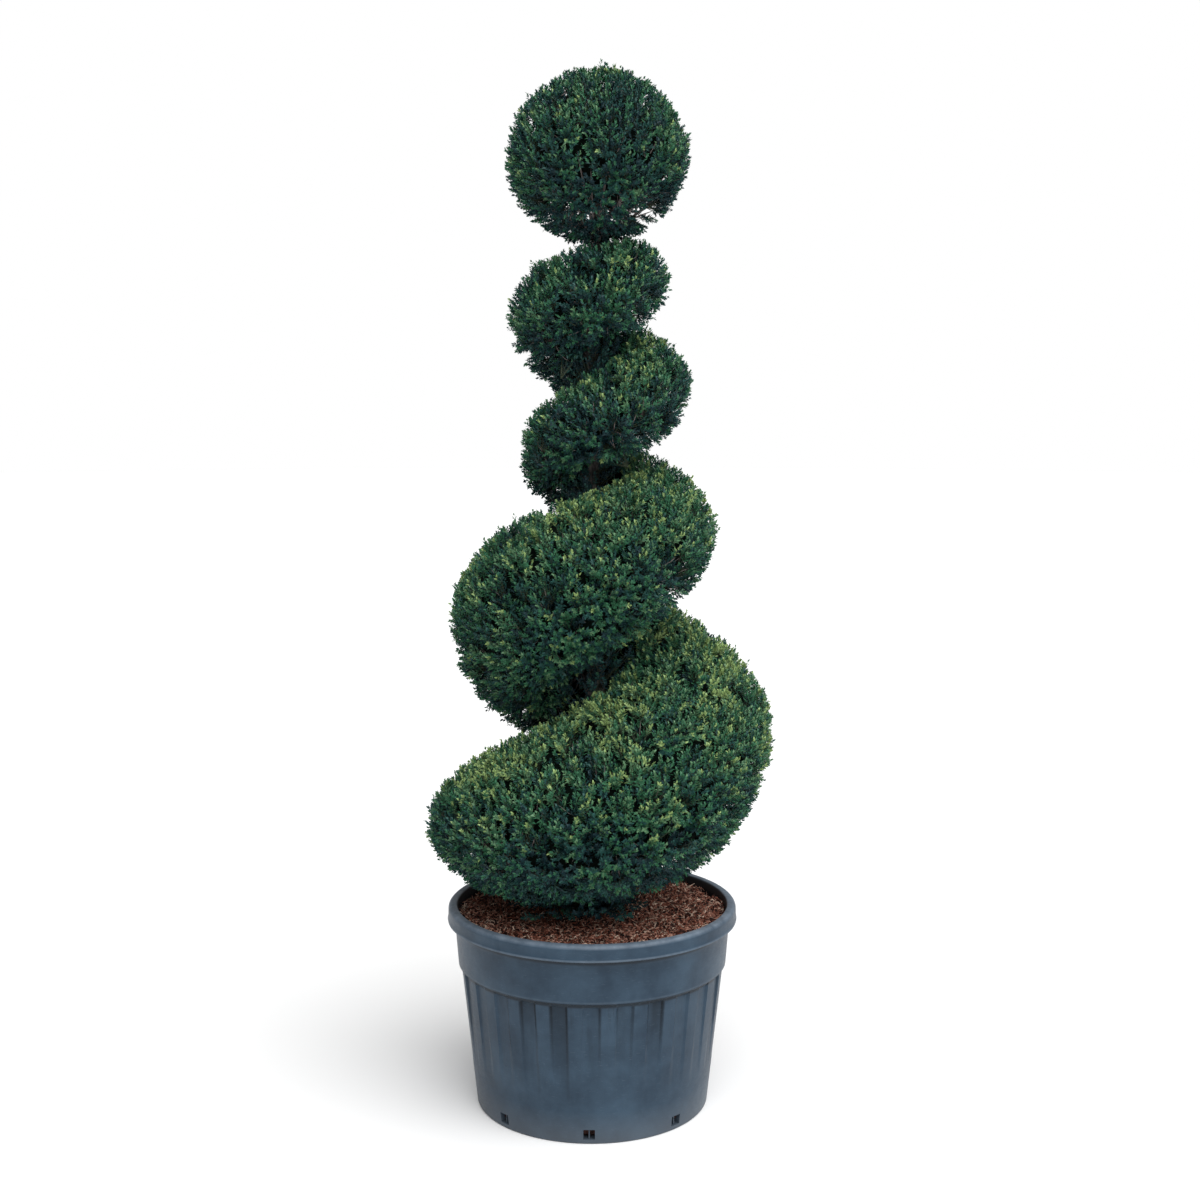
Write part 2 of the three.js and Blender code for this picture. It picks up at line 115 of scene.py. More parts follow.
# %% [markdown]
# ## Helpers for finishes and pieces
#
# Colours are written as the hex codes that a paint program shows and turned to the linear values that the
# shader works with. One function adds a node, sets it and links it, so that each material reads as a list of
# its steps. A pattern's scale is worked out from the real size of its patches, so that it can be checked with
# a ruler. Another function hands a finished mesh to the frame.


# %% Helpers for finishes
def linear(code):
    """An sRGB hex colour as linear red, green, blue and alpha."""
    channels = [int(code[i : i + 2], 16) / 255 for i in (1, 3, 5)]
    return [c / 12.92 if c <= 0.04045 else ((c + 0.055) / 1.055) ** 2.4 for c in channels] + [1.0]


def add_node(material, kind, inputs, **settings):
    """Adds a node. Each input is given a value, or a node or one of its outputs to link."""
    tree = material.node_tree
    node = tree.nodes.new("ShaderNode" + kind)
    for name, value in settings.items():
        setattr(node, name, value)
    for name, value in inputs.items():
        if isinstance(value, bpy.types.Node):
            value = next(output for output in value.outputs if output.enabled)
        if isinstance(value, bpy.types.NodeSocket):
            tree.links.new(value, node.inputs[name])
        else:
            node.inputs[name].default_value = value
    return node


def patches(size):
    """The scale of a noise whose patches are about this many millimetres from one to the next."""
    return 1 / (size * MM)


def new_material(name, colour, roughness, gloss=0.25):
    """A material of one plain colour. Returns it and its shader, for what is linked afterwards.

    All of these surfaces have an IOR near 1.5. "gloss" is how much of the reflection is left to see on a
    surface that is weathered, waxy or dusty, where 0.5 would be clean.
    """
    material = bpy.data.materials.new(name)
    material.use_nodes = True
    shader = material.node_tree.nodes["Principled BSDF"]
    shader.inputs["Base Color"].default_value = linear(colour)
    shader.inputs["Roughness"].default_value = roughness
    shader.inputs["IOR"].default_value = 1.5
    shader.inputs["Specular IOR Level"].default_value = gloss
    return material, shader


# %% Helpers for meshes and pieces
def mesh_of(name, points, triangles):
    """A mesh from arrays: points in millimetres, and three point numbers for each triangle."""
    mesh = bpy.data.meshes.new(name)
    mesh.vertices.add(len(points))
    mesh.vertices.foreach_set("co", (points * MM).astype(np.float32).ravel())
    mesh.loops.add(3 * len(triangles))
    mesh.loops.foreach_set("vertex_index", triangles.astype(np.int32).ravel())
    mesh.polygons.add(len(triangles))
    mesh.polygons.foreach_set("loop_start", np.arange(0, 3 * len(triangles), 3, dtype=np.int32))
    mesh.update(calc_edges=True)
    return mesh


def mesh_from(bm, name):
    """A mesh from a bmesh in millimetres, with its faces turned outwards."""
    bmesh.ops.remove_doubles(bm, verts=bm.verts, dist=0.01)
    bmesh.ops.recalc_face_normals(bm, faces=bm.faces)
    bmesh.ops.scale(bm, vec=(MM, MM, MM), verts=bm.verts)
    mesh = bpy.data.meshes.new(name)
    bm.to_mesh(mesh)
    bm.free()
    return mesh


def finish_piece(name, mesh, material, replaces=()):
    """Puts a mesh in the scene as a piece of the plant."""
    mesh.materials.clear()
    mesh.materials.append(material)
    piece = bpy.data.objects.new(name, mesh)
    bpy.context.scene.collection.objects.link(piece)
    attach(piece, BODY)
    if replaces:
        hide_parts(*replaces)
    print(name, "faces:", len(mesh.polygons))
    return piece


def smooth_with_edges(mesh, degrees):
    """Smooth shading, but for edges that turn by more than the angle."""
    mesh.shade_smooth()
    mesh.set_sharp_from_angle(angle=math.radians(degrees))


# %% [markdown]
# ## The pot
#
# A grower's pot of this size is injection-moulded from recycled polypropylene. Its wall is a turned shape
# with a rolled lip, a smooth band and a fluted lower part, so one section is drawn and spun about the upright
# axis. The flutes are then pressed in by moving points, as the mould does, because their depth changes all
# the way down. The drain holes go right through the wall, so they are cut out. Each keeps an upright bar that
# stands back from the wall's face, in shadow.

# %% Sizes of the pot
POT = {
    "height": 549, "rim": 394, "mouth": 367, "lip": 44, "lip_round": 12, "neck": 371, "neck_height": 462,
    "band": 365, "band_height": 389, "wall": 357, "heel": 316, "heel_round": 6,
    "floor": 12, "floor_round": 12, "thick": 13,
}
FRONT = -math.pi / 2  # a flute faces the front
FLUTE = {"count": 26, "width": 40, "depth": 7, "top": 373, "bottom": 120, "edge": 4}
DRAIN = {"count": 8, "width": 30, "height": 27, "sill": 13, "bar": 3, "set_back": 5, "reach": 30}
DRAIN_TURN = math.radians(-1.2)  # from the front flute to the nearest hole
DARKENING_TURN = (0, 0, math.radians(45))  # brings the darkest flutes, partly dirt and partly painted shade, to the front and left
STEPS_ROUND = FLUTE["count"] * 14  # whole steps to a flute, so that all flutes have the same points


# %% The pot's section
def mix(a, b, share):
    """The value that lies a share of the way from a to b."""
    return a + (b - a) * share


def arc(centre, radius, start, end, steps):
    """Points on an arc, from start to end in degrees."""
    angles = np.radians(np.linspace(start, end, steps + 1))
    return [(centre[0] + radius * math.cos(a), centre[1] + radius * math.sin(a)) for a in angles]


def stretch(first, last, steps):
    """Evenly spaced points on a straight stretch, without its first point."""
    return [tuple(mix(np.array(first), np.array(last), i / steps)) for i in range(1, steps + 1)]


def wall_radius(z):
    """The outer radius of the fluted wall at a height."""
    return mix(POT["heel"], POT["wall"], (z - POT["heel_round"]) / (FLUTE["top"] - POT["heel_round"]))


def pot_inside():
    """The inner wall's radius and height, from the floor up to just under the lip."""
    thick = POT["thick"]
    corner = POT["floor"] + POT["floor_round"]
    return [
        (0, POT["floor"]),
        (POT["heel"] - thick - POT["floor_round"], POT["floor"]),
        (wall_radius(corner) - thick, corner),
        (POT["wall"] - thick, FLUTE["top"]),
        (POT["neck"] - thick, POT["neck_height"]),
        (POT["mouth"] - POT["lip_round"] / 2, POT["height"] - POT["lip"]),
        (POT["mouth"], POT["height"] - POT["lip_round"]),
    ]


def pot_section():
    """The whole wall's section: underside, outside, lip and inside."""
    r = POT["heel_round"]
    heel = POT["heel"] - r
    lip_foot = POT["height"] - POT["lip"]
    wall, band, neck, rim, ledge = (POT[size] for size in ("wall", "band", "neck", "rim", "band_height"))
    section = [(0, 0), (heel * 0.5, 0), (heel, 0)]
    section += arc((heel, r), r, -90, 0, 5)[1:]
    section += stretch(section[-1], (wall, FLUTE["top"]), 26)
    # The step out to the band
    section += [(wall + 1, ledge - 7), (wall + 2.2, ledge - 5), (band - 1.4, ledge - 2.6)]
    section += [(band - 0.2, ledge - 1.6), (band, ledge)]
    section += stretch(section[-1], (neck, POT["neck_height"]), 6)
    # The hollow under the lip, then the bead along its foot
    section += [(neck + 1, lip_foot - 22), (neck + 3, lip_foot - 9), (neck + 7, lip_foot - 2)]
    section += [(neck + 12, lip_foot), (rim - 4, lip_foot), (rim - 0.5, lip_foot + 1.5)]
    section += [(rim, lip_foot + 4), (rim - 1.5, lip_foot + 8)]
    # The lip's face, rolled over the top and in to the mouth
    section += stretch(section[-1], (rim - 2, POT["height"] - 15), 2)
    section += arc((rim - 14, POT["height"] - 13), 12, 5, 90, 8)
    section += arc((POT["mouth"] + 5, POT["height"] - 6), 5, 90, 180, 4)
    return section + pot_inside()[-2::-1]


print("points in the pot's section:", len(pot_section()))


# %% Spin the section and press in the flutes
def spun(section, steps):
    """A bmesh of a section turned once about the upright axis."""
    bm = bmesh.new()
    corners = [bm.verts.new((r, 0, z)) for r, z in section]
    edges = [bm.edges.new(pair) for pair in zip(corners, corners[1:])]
    full = {"angle": 2 * math.pi, "steps": steps, "use_merge": True}
    bmesh.ops.spin(bm, geom=corners + edges, cent=(0, 0, 0), axis=(0, 0, 1), **full)
    bmesh.ops.remove_doubles(bm, verts=bm.verts, dist=0.01)
    return bm


def flute_depth(angle, z):
    """How far the wall is pressed in: deepest under the band, fading out towards the foot."""
    pitch = 2 * math.pi / FLUTE["count"]
    off_centre = abs((angle - FRONT + pitch / 2) % pitch - pitch / 2) * POT["wall"]
    across = np.clip((FLUTE["width"] / 2 - off_centre) / FLUTE["edge"] + 0.5, 0, 1)
    down = np.clip((z - FLUTE["bottom"]) / (FLUTE["top"] - FLUTE["bottom"]), 0, 1)
    return FLUTE["depth"] * across * down**0.8


def pot_wall():
    """The pot's wall and floor with the flutes pressed in, and no holes yet."""
    bm = spun(pot_section(), STEPS_ROUND)
    for v in bm.verts:
        r = math.hypot(v.co.x, v.co.y)
        outside = r > POT["heel"] - 1 and v.co.z < FLUTE["top"] + 0.5
        if outside and r > wall_radius(v.co.z) - 3:
            depth = flute_depth(math.atan2(v.co.y, v.co.x), v.co.z)
            v.co.xy *= (r - depth) / r
    return mesh_from(bm, "pot_shell")


def drain_cutter():
    """Blocks round the foot, each notched from behind so that a bar is left standing in the hole."""
    inner, outer = POT["heel"] - DRAIN["reach"], POT["heel"] + DRAIN["reach"]
    face = POT["heel"] - DRAIN["set_back"]
    side, bar = DRAIN["width"] / 2, DRAIN["bar"] / 2
    plan = [(outer, -side), (outer, side), (inner, side), (inner, bar), (face, bar)]
    plan += [(face, -bar), (inner, -bar), (inner, -side)]
    bm = bmesh.new()
    for i in range(DRAIN["count"]):
        corners = [bm.verts.new((x, y, DRAIN["sill"])) for x, y in plan]
        raised = bmesh.ops.extrude_face_region(bm, geom=[bm.faces.new(corners)])["geom"]
        top = [v for v in raised if isinstance(v, bmesh.types.BMVert)]
        bmesh.ops.translate(bm, verts=top, vec=(0, 0, DRAIN["height"]))
        turn = Matrix.Rotation(FRONT + DRAIN_TURN + i * 2 * math.pi / DRAIN["count"], 4, "Z")
        bmesh.ops.transform(bm, matrix=turn, verts=corners + top)
    bmesh.ops.recalc_face_normals(bm, faces=bm.faces)
    return mesh_from(bm, "drain_cutter")


def cut(mesh, cutter):
    """The mesh less the cutter's blocks."""
    whole = bpy.data.objects.new("whole", mesh)
    tool = bpy.data.objects.new("tool", cutter)
    for thing in (whole, tool):
        bpy.context.scene.collection.objects.link(thing)
    boolean = whole.modifiers.new("drain holes", "BOOLEAN")
    boolean.object = tool
    boolean.solver = "EXACT"
    evaluated = whole.evaluated_get(bpy.context.evaluated_depsgraph_get())
    result = bpy.data.meshes.new_from_object(evaluated)
    for thing in (whole, tool):
        bpy.data.objects.remove(thing)
    return result


# %% [markdown]
# ### Moulded polypropylene
#
# The plastic is slate grey with a fine satin skin. What the eye reads as "plastic that has stood outdoors" is
# mostly in its roughness and its stains: rain has run down from the band and left darker streaks, the lip's
# edges are rubbed paler, and the foot carries a film of dust. Some light and shade is painted in as well:
# highlights on the lip and the band's edge, and shade under the lip and the band, in the flutes and inside
# the mouth. The mould's own grain is finer than a render of the whole pot can show, so its bump is drawn
# coarser than it is.


# %% Where the pot's stains lie
def colour_steps(node, *steps):
    """Sets a colour ramp's steps, each a position and a hex colour."""
    for element, (position, colour) in zip(node.color_ramp.elements, steps):
        element.position = position
        element.color = linear(colour)
    return node


def flute_dirt_and_shade(material, place, split):
    """Darkening in the flutes, partly dirt and partly painted shade: a film inside and a dark line along each
    edge. It ends at uneven heights.

    The angle round the pot is turned into a number that grows by one from flute to flute. What is left of it
    after the whole flutes tells how far each place lies from its own flute's middle.
    """
    pitch = 2 * math.pi / FLUTE["count"]
    half = FLUTE["width"] / (2 * POT["wall"] * pitch)
    turn = add_node(material, "Math", {0: split.outputs["Y"], 1: split.outputs["X"]}, operation="ARCTAN2")
    to_flutes = {0: turn, 1: 1 / pitch, 2: 0.5 - FRONT / pitch}
    steps = add_node(material, "Math", to_flutes, operation="MULTIPLY_ADD")
    share = add_node(material, "Math", {0: steps}, operation="FRACT")
    off_centre = add_node(material, "Math", {0: share, 1: 0.5}, operation="SUBTRACT")
    off_centre = add_node(material, "Math", {0: off_centre}, operation="ABSOLUTE")
    from_edge = add_node(material, "Math", {0: off_centre, 1: half}, operation="SUBTRACT")
    from_edge = add_node(material, "Math", {0: from_edge}, operation="ABSOLUTE")
    along_edge = {"Value": from_edge, "From Min": 0.015, "From Max": 0.085, "To Min": 1, "To Max": 0}
    line = add_node(material, "MapRange", along_edge)
    inside = add_node(material, "Math", {0: off_centre, 1: half}, operation="LESS_THAN")
    film = add_node(material, "Math", {0: inside, 1: 0.6}, operation="MULTIPLY")
    either = add_node(material, "Math", {0: line, 1: film}, operation="MAXIMUM")
    tall = add_node(material, "Mapping", {"Vector": place, "Rotation": DARKENING_TURN, "Scale": (1, 1, 0.08)})
    flute_patching = {"Vector": tall, "Scale": patches(143), "Detail": 4, "Roughness": 0.6}
    flute_patches = add_node(material, "TexNoise", flute_patching)
    here = add_node(material, "MapRange", {"Value": flute_patches, "From Min": 0.47, "From Max": 0.55})
    return add_node(material, "Math", {0: either, 1: here}, operation="MULTIPLY")


def fade_downwards(material, place, upright):
    """From nothing near the foot to one under the band, further down in some places than in others."""
    flat = add_node(material, "Mapping", {"Vector": place, "Rotation": DARKENING_TURN, "Scale": (1, 1, 0)})
    sweeping = {"Vector": flat, "Scale": patches(83.3), "Detail": 2, "Roughness": 0.6}
    sweep = add_node(material, "TexNoise", sweeping)
    ends = {"Value": sweep, "From Min": 0.35, "From Max": 0.65, "To Min": 0.04, "To Max": 0.28}
    low = add_node(material, "MapRange", ends)
    top = FLUTE["top"] * MM
    fade = add_node(material, "MapRange", {"Value": upright, "From Min": low, "From Max": top})
    below = add_node(material, "Math", {0: upright, 1: top + 0.003}, operation="LESS_THAN")
    return add_node(material, "Math", {0: fade, 1: below}, operation="MULTIPLY")


def line_at(material, upright, height, core, reach, strength):
    """A level line round the pot: full strength within "core" of its height, and none beyond "reach"."""
    away = add_node(material, "Math", {0: upright, 1: height}, operation="SUBTRACT")
    away = add_node(material, "Math", {0: away}, operation="ABSOLUTE")
    fading = {"Value": away, "From Min": core, "From Max": reach, "To Min": strength, "To Max": 0}
    return add_node(material, "MapRange", fading)


# %% Pot material
def pot_colour(material, place, split):
    """The plastic's colour, with its stains and painted shade laid over one another. Returns it and the
    flutes' darkening.
    """
    upright = split.outputs["Z"]
    clouding = {"Vector": place, "Scale": patches(111), "Detail": 6, "Roughness": 0.6}
    clouds = add_node(material, "TexNoise", clouding)
    tones = add_node(material, "ValToRGB", {"Fac": clouds})
    colour = colour_steps(tones, (0.34, "#1f3141"), (0.68, "#324657"))

    fading = fade_downwards(material, place, upright)
    in_flutes = flute_dirt_and_shade(material, place, split)
    # The flutes' darkening: partly dirt and partly painted shade in their creases.
    dirt_and_shade = add_node(material, "Math", {0: in_flutes, 1: fading}, operation="MULTIPLY")
    colour = add_node(material, "Mix", {0: dirt_and_shade, 6: colour, 7: linear("#0c161f")}, data_type="RGBA")

    # Rain streaks lie some 20 mm apart and are 20 times as long as wide, so their noise is squeezed along Z.
    thin = add_node(material, "Mapping", {"Vector": place, "Scale": (1, 1, 0.05)})
    running = {"Vector": thin, "Scale": patches(19.2), "Detail": 5, "Roughness": 0.6}
    runs = add_node(material, "TexNoise", running)
    darkest = {"Value": runs, "From Min": 0.54, "From Max": 0.72, "To Max": 0.5}
    streaks = add_node(material, "MapRange", darkest)
    streaks = add_node(material, "Math", {0: streaks, 1: fading}, operation="MULTIPLY")
    colour = add_node(material, "Mix", {0: streaks, 6: colour, 7: linear("#14212c")}, data_type="RGBA")

    # Painted shade: a dark line under the lip and one under the band, where their overhangs cast shade, with
    # some dirt that no rain washes off.
    lip_foot = (POT["height"] - POT["lip"]) * MM
    amount = line_at(material, upright, lip_foot - 0.006, core=0.003, reach=0.009, strength=0.75)
    colour = add_node(material, "Mix", {0: amount, 6: colour, 7: linear("#0c141b")}, data_type="RGBA")
    band_foot = POT["band_height"] * MM
    amount = line_at(material, upright, band_foot - 0.007, core=0.004, reach=0.009, strength=0.8)
    colour = add_node(material, "Mix", {0: amount, 6: colour, 7: linear("#0c141b")}, data_type="RGBA")
    return colour, dirt_and_shade


def highlit_and_rubbed_edges(material, place, upright, colour):
    """Pale edges in patches: the lip's top, its bead and the band's lower edge. They are painted highlights,
    partly rubbed pale as well.
    """
    lip_foot = (POT["height"] - POT["lip"]) * MM
    band_foot = POT["band_height"] * MM
    # Painted highlights along the bead and the band's edge, and strongest over the lip's top.
    bead = line_at(material, upright, lip_foot + 0.004, core=0.001, reach=0.004, strength=0.3)
    band = line_at(material, upright, band_foot + 0.002, core=0.001, reach=0.004, strength=0.1)
    over_top = {"Value": upright, "From Min": lip_foot + 0.032, "From Max": lip_foot + 0.041, "To Max": 0.6}
    brim_highlight = add_node(material, "MapRange", over_top)
    edges = add_node(material, "Math", {0: bead, 1: band}, operation="MAXIMUM")
    edges = add_node(material, "Math", {0: edges, 1: brim_highlight}, operation="MAXIMUM")
    edge_patching = {"Vector": place, "Scale": patches(33.3), "Detail": 5, "Roughness": 0.7}
    rubbing_and_sheen = add_node(material, "TexNoise", edge_patching)
    patchy = {"Value": rubbing_and_sheen, "From Min": 0.3, "From Max": 0.7, "To Min": 0.35, "To Max": 1}
    uneven = add_node(material, "MapRange", patchy)
    amount = add_node(material, "Math", {0: edges, 1: uneven}, operation="MULTIPLY")
    return add_node(material, "Mix", {0: amount, 6: colour, 7: linear("#8d9aa8")}, data_type="RGBA")


def dust_and_mouth_shade(material, place, upright, colour):
    """Dust round the foot, and painted shade on the inside of the mouth."""
    foot = add_node(material, "MapRange", {"Value": upright, "From Min": 0.09, "From Max": 0, "To Max": 0.3})
    colour = add_node(material, "Mix", {0: foot, 6: colour, 7: linear("#6f7173")}, data_type="RGBA")
    # Painted shade: the inside of the mouth, above half a metre, is made nearly black.
    square = add_node(material, "VectorMath", {0: place, 1: (1, 1, 0)}, operation="MULTIPLY")
    across = add_node(material, "VectorMath", {0: square}, operation="LENGTH").outputs["Value"]
    mouth = POT["mouth"] * MM
    rim = {"Value": across, "From Min": mouth, "From Max": mouth + 0.003, "To Min": 0.92, "To Max": 0}
    within = add_node(material, "MapRange", rim)
    high = add_node(material, "MapRange", {"Value": upright, "From Min": 0.49, "From Max": 0.5})
    amount = add_node(material, "Math", {0: within, 1: high}, operation="MULTIPLY")
    return add_node(material, "Mix", {0: amount, 6: colour, 7: linear("#0d1012")}, data_type="RGBA")


def pot_plastic():
    """Moulded polypropylene: satin where it is whole, and duller and paler where it is scuffed."""
    material, shader = new_material("satin_polypropylene", "#223546", roughness=0.4, gloss=0.26)
    place = add_node(material, "TexCoord", {}).outputs["Object"]
    split = add_node(material, "SeparateXYZ", {"Vector": place})
    colour, dirt_and_shade = pot_colour(material, place, split)
    colour = highlit_and_rubbed_edges(material, place, split.outputs["Z"], colour)
    flat = add_node(material, "Mapping", {"Vector": place, "Scale": (1, 1, 6)})
    scuffing = {"Vector": flat, "Scale": patches(18.18), "Detail": 8, "Roughness": 0.72}
    scuffs = add_node(material, "TexNoise", scuffing)
    palest = {"Value": scuffs, "From Min": 0.58, "From Max": 0.75, "To Max": 0.3}
    worn = add_node(material, "MapRange", palest)
    colour = add_node(material, "Mix", {0: worn, 6: colour, 7: linear("#6c7a88")}, data_type="RGBA")
    colour = dust_and_mouth_shade(material, place, split.outputs["Z"], colour)
    material.node_tree.links.new(colour.outputs[2], shader.inputs["Base Color"])

    roughest = {"Value": scuffs, "From Min": 0.3, "From Max": 0.75, "To Min": 0.33, "To Max": 0.55}
    satin = add_node(material, "MapRange", roughest)
    dull = add_node(material, "Math", {0: dirt_and_shade, 1: 0.2, 2: satin}, operation="MULTIPLY_ADD")
    material.node_tree.links.new(dull.outputs[0], shader.inputs["Roughness"])
    graining = {"Vector": place, "Scale": patches(2.38), "Detail": 3, "Roughness": 0.6}
    grain = add_node(material, "TexNoise", graining)
    skin = add_node(material, "Bump", {"Height": grain, "Strength": 0.12, "Distance": 0.0004})
    rippling = {"Vector": place, "Scale": patches(71.4), "Detail": 2, "Roughness": 0.6}
    ripple = add_node(material, "TexNoise", rippling)
    waves = add_node(material, "Bump", {"Height": ripple, "Strength": 0.3, "Distance": 0.004, "Normal": skin})
    scoring = {"Height": scuffs, "Strength": 0.15, "Distance": 0.001, "Normal": waves}
    scored = add_node(material, "Bump", scoring)
    material.node_tree.links.new(scored.outputs["Normal"], shader.inputs["Normal"])
    return material


# %% Make the pot
pot_mesh = cut(pot_wall(), drain_cutter())
smooth_with_edges(pot_mesh, degrees=24)
finish_piece("pot_shell", pot_mesh, pot_plastic(), ["pot"])

# %% [markdown]
# ## The mulch
#
# The root ball is covered with shredded bark: soft curved slivers, from straw-coloured to dark red-brown,
# lying every way over each other. The ground under them is one lumpy solid that fills the pot, spun like the
# pot itself. The slivers are a loose litter of thousands of small bodies, so one sliver is modelled with
# three bends and copied by arrays, in four tones.

# %% Ground of the pot
MULCH = {"height": 522, "gap": 0.3, "slivers": 12000}  # the gap is to the pot's inner wall


def lumps(points, size, seed):
    """Smooth noise, from about -0.7 to 0.7, whose lumps are about the given size."""
    shift = Vector((7.13, 3.71, 9.27)) * seed  # far enough to be another part of the noise
    return np.array([noise.noise(Vector(p) / size + shift) for p in points])


def mulch_edge():
    """The mulch's outer radius at its top."""
    (r0, z0), (r1, z1) = pot_inside()[-2:]
    return mix(r0, r1, (MULCH["height"] - z0) / (z1 - z0)) - MULCH["gap"]


def mulch_top(points):
    """How high the ground stands at each point, given in x and y."""
    flat = np.column_stack([points, np.zeros(len(points))])
    heaps, clods = lumps(flat, size=95, seed=1), lumps(flat, size=28, seed=2)
    return MULCH["height"] - 3 + 9 * heaps + 7 * clods


def mulch_ground():
    """One solid from the pot's floor to its lumpy top, a hair's breadth inside the wall."""
    edge = mulch_edge()
    fill = [(max(r - MULCH["gap"], 0), z) for r, z in pot_inside() if z < MULCH["height"]]
    fill[0] = (0, POT["floor"] + MULCH["gap"])
    fill[1] = (fill[1][0], POT["floor"] + MULCH["gap"])
    top = [(edge * share, MULCH["height"]) for share in np.linspace(1, 0, 46)]
    bm = spun(fill + top, 180)
    on_top = [v for v in bm.verts if v.co.z > MULCH["height"] - 1]
    heights = mulch_top(np.array([v.co.xy for v in on_top]))
    for v, z in zip(on_top, heights):
        v.co.z = z
    return mesh_from(bm, "mulch_ground")


# %% [markdown]
# ### Copies by arrays
#
# Where a shape is needed thousands of times, a small model of it is made once with bmesh. Its points are then
# turned, scaled and moved for each copy in one step by numpy, and all copies become one mesh. Each copy has a
# frame of three directions: along, across and over. An operator for each copy would be far slower.


# %% Copying helpers
def model_arrays(bm):
    """The points and triangles of a small model."""
    bmesh.ops.triangulate(bm, faces=bm.faces)
    bm.verts.ensure_lookup_table()
    points = np.array([v.co for v in bm.verts])
    triangles = np.array([[v.index for v in f.verts] for f in bm.faces])
    bm.free()
    return points, triangles


def unit(vectors):
    """Directions of length one."""
    return vectors / np.maximum(np.linalg.norm(vectors, axis=-1, keepdims=True), 1e-9)


def frames_along(directions, rolls):
    """For each direction, three directions at right angles: along it, across it and over it."""
    upright = np.where(np.abs(directions[:, 2:]) < 0.95, [[0.0, 0.0, 1.0]], [[1.0, 0.0, 0.0]])
    side = unit(np.cross(upright, directions))
    top = np.cross(directions, side)
    cos, sin = np.cos(rolls)[:, None], np.sin(rolls)[:, None]
    return np.stack([directions, cos * side + sin * top, cos * top - sin * side], axis=1)


def copies(model, places, frames, scales):
    """Points and triangles of a model repeated at each place."""
    points, triangles = model
    sized = points[None] * scales[:, None, :]
    moved = np.einsum("nmi,nij->nmj", sized, frames) + places[:, None, :]
    numbers = np.arange(len(places))[:, None, None] * len(points) + triangles[None]
    return moved.reshape(-1, 3), numbers.reshape(-1, 3)


def join_arrays(parts):
    """Several points-and-triangles pairs as one."""
    starts = np.cumsum([0] + [len(points) for points, _ in parts[:-1]])
    points = np.concatenate([points for points, _ in parts])
    triangles = np.concatenate([triangles + start for (_, triangles), start in zip(parts, starts)])
    return points, triangles


# %% One sliver of bark, and its litter
def sliver_model(bend):
    """A bent three-sided splinter one unit long: a small ring extruded twice, and drawn to a point.

    Each stretch is half its length, first thicker and rising, then shrunk to nothing and falling.
    """
    bm = bmesh.new()
    ring = bmesh.ops.create_circle(bm, segments=3, radius=0.3, cap_ends=True)["verts"]
    bmesh.ops.rotate(bm, verts=ring, matrix=Matrix.Rotation(math.pi / 2, 3, "Y"))
    face = bm.faces[:]
    for x, thick, rise in ((0.5, 1.8, 0.22), (0.5, 0.0, -0.22)):
        grown = bmesh.ops.extrude_face_region(bm, geom=face)["geom"]
        verts = [g for g in grown if isinstance(g, bmesh.types.BMVert)]
        face = [g for g in grown if isinstance(g, bmesh.types.BMFace)]
        bmesh.ops.translate(bm, verts=verts, vec=(x, 0, rise * bend))
        centre = sum((v.co for v in verts), Vector()) / len(verts)
        bmesh.ops.scale(bm, verts=verts, vec=(1, thick, thick), space=Matrix.Translation(-centre))
    bmesh.ops.remove_doubles(bm, verts=bm.verts, dist=0.001)
    bmesh.ops.translate(bm, verts=bm.verts, vec=(-0.5, 0, 0))
    bmesh.ops.recalc_face_normals(bm, faces=bm.faces)
    return model_arrays(bm)


SLIVER = {
    "shortest": 8, "longest": 40, "thinnest": 2.0, "thickest": 4.4,
    "tilt": 0.42, "roll": 0.9, "pile": 6,
}


def litter(count, rng):
    """Where the slivers lie, how they are turned and how large they are."""
    radius = (mulch_edge() - 6) * np.sqrt(rng.random(count))
    angle = rng.random(count) * 2 * math.pi
    flat = np.column_stack([radius * np.cos(angle), radius * np.sin(angle)])
    places = np.column_stack([flat, mulch_top(flat) + rng.uniform(0, SLIVER["pile"], count)])
    heading = rng.random(count) * 2 * math.pi
    tilt = rng.normal(0, SLIVER["tilt"], count)
    along = np.column_stack([np.cos(heading) * np.cos(tilt), np.sin(heading) * np.cos(tilt), np.sin(tilt)])
    length = rng.gamma(6, 2.9, count).clip(SLIVER["shortest"], SLIVER["longest"])
    width = rng.uniform(SLIVER["thinnest"], SLIVER["thickest"], count)
    sizes = np.column_stack([length, width, width * rng.uniform(0.5, 0.9, count)])
    return places, frames_along(along, rng.normal(0, SLIVER["roll"], count)), sizes


# %% [markdown]
# ### Bark colours
#
# Wet bark is nearly black in its gaps and red-brown on its faces, and dry inner wood is straw-coloured. The
# ground gets a dark material with its own grain. The slivers get plain tones, and the few pale ones do most
# of the work, as they do on real mulch.


# %% Mulch materials
def damp_ground():
    """Damp crumbs of bark between the slivers: dark and quite dull."""
    material, shader = new_material("damp_bark_crumbs", "#241814", roughness=0.95)
    place = add_node(material, "TexCoord", {}).outputs["Object"]
    crumbling = {"Vector": place, "Scale": patches(7.69), "Detail": 6, "Roughness": 0.7}
    crumbs = add_node(material, "TexNoise", crumbling)
    tones = add_node(material, "ValToRGB", {"Fac": crumbs})
    colour_steps(tones, (0.4, "#1d1210"), (0.7, "#573630"))
    material.node_tree.links.new(tones.outputs["Color"], shader.inputs["Base Color"])
    relief = add_node(material, "Bump", {"Height": crumbs, "Strength": 0.8, "Distance": 0.004})
    material.node_tree.links.new(relief.outputs["Normal"], shader.inputs["Normal"])
    return material


SLIVER_TONES = (  # name, colour and share of the slivers
    ("dark", "#3f2723", 0.18),
    ("red", "#85503f", 0.4),
    ("rose", "#b78775", 0.3),
    ("straw", "#dcc1ad", 0.12),
)

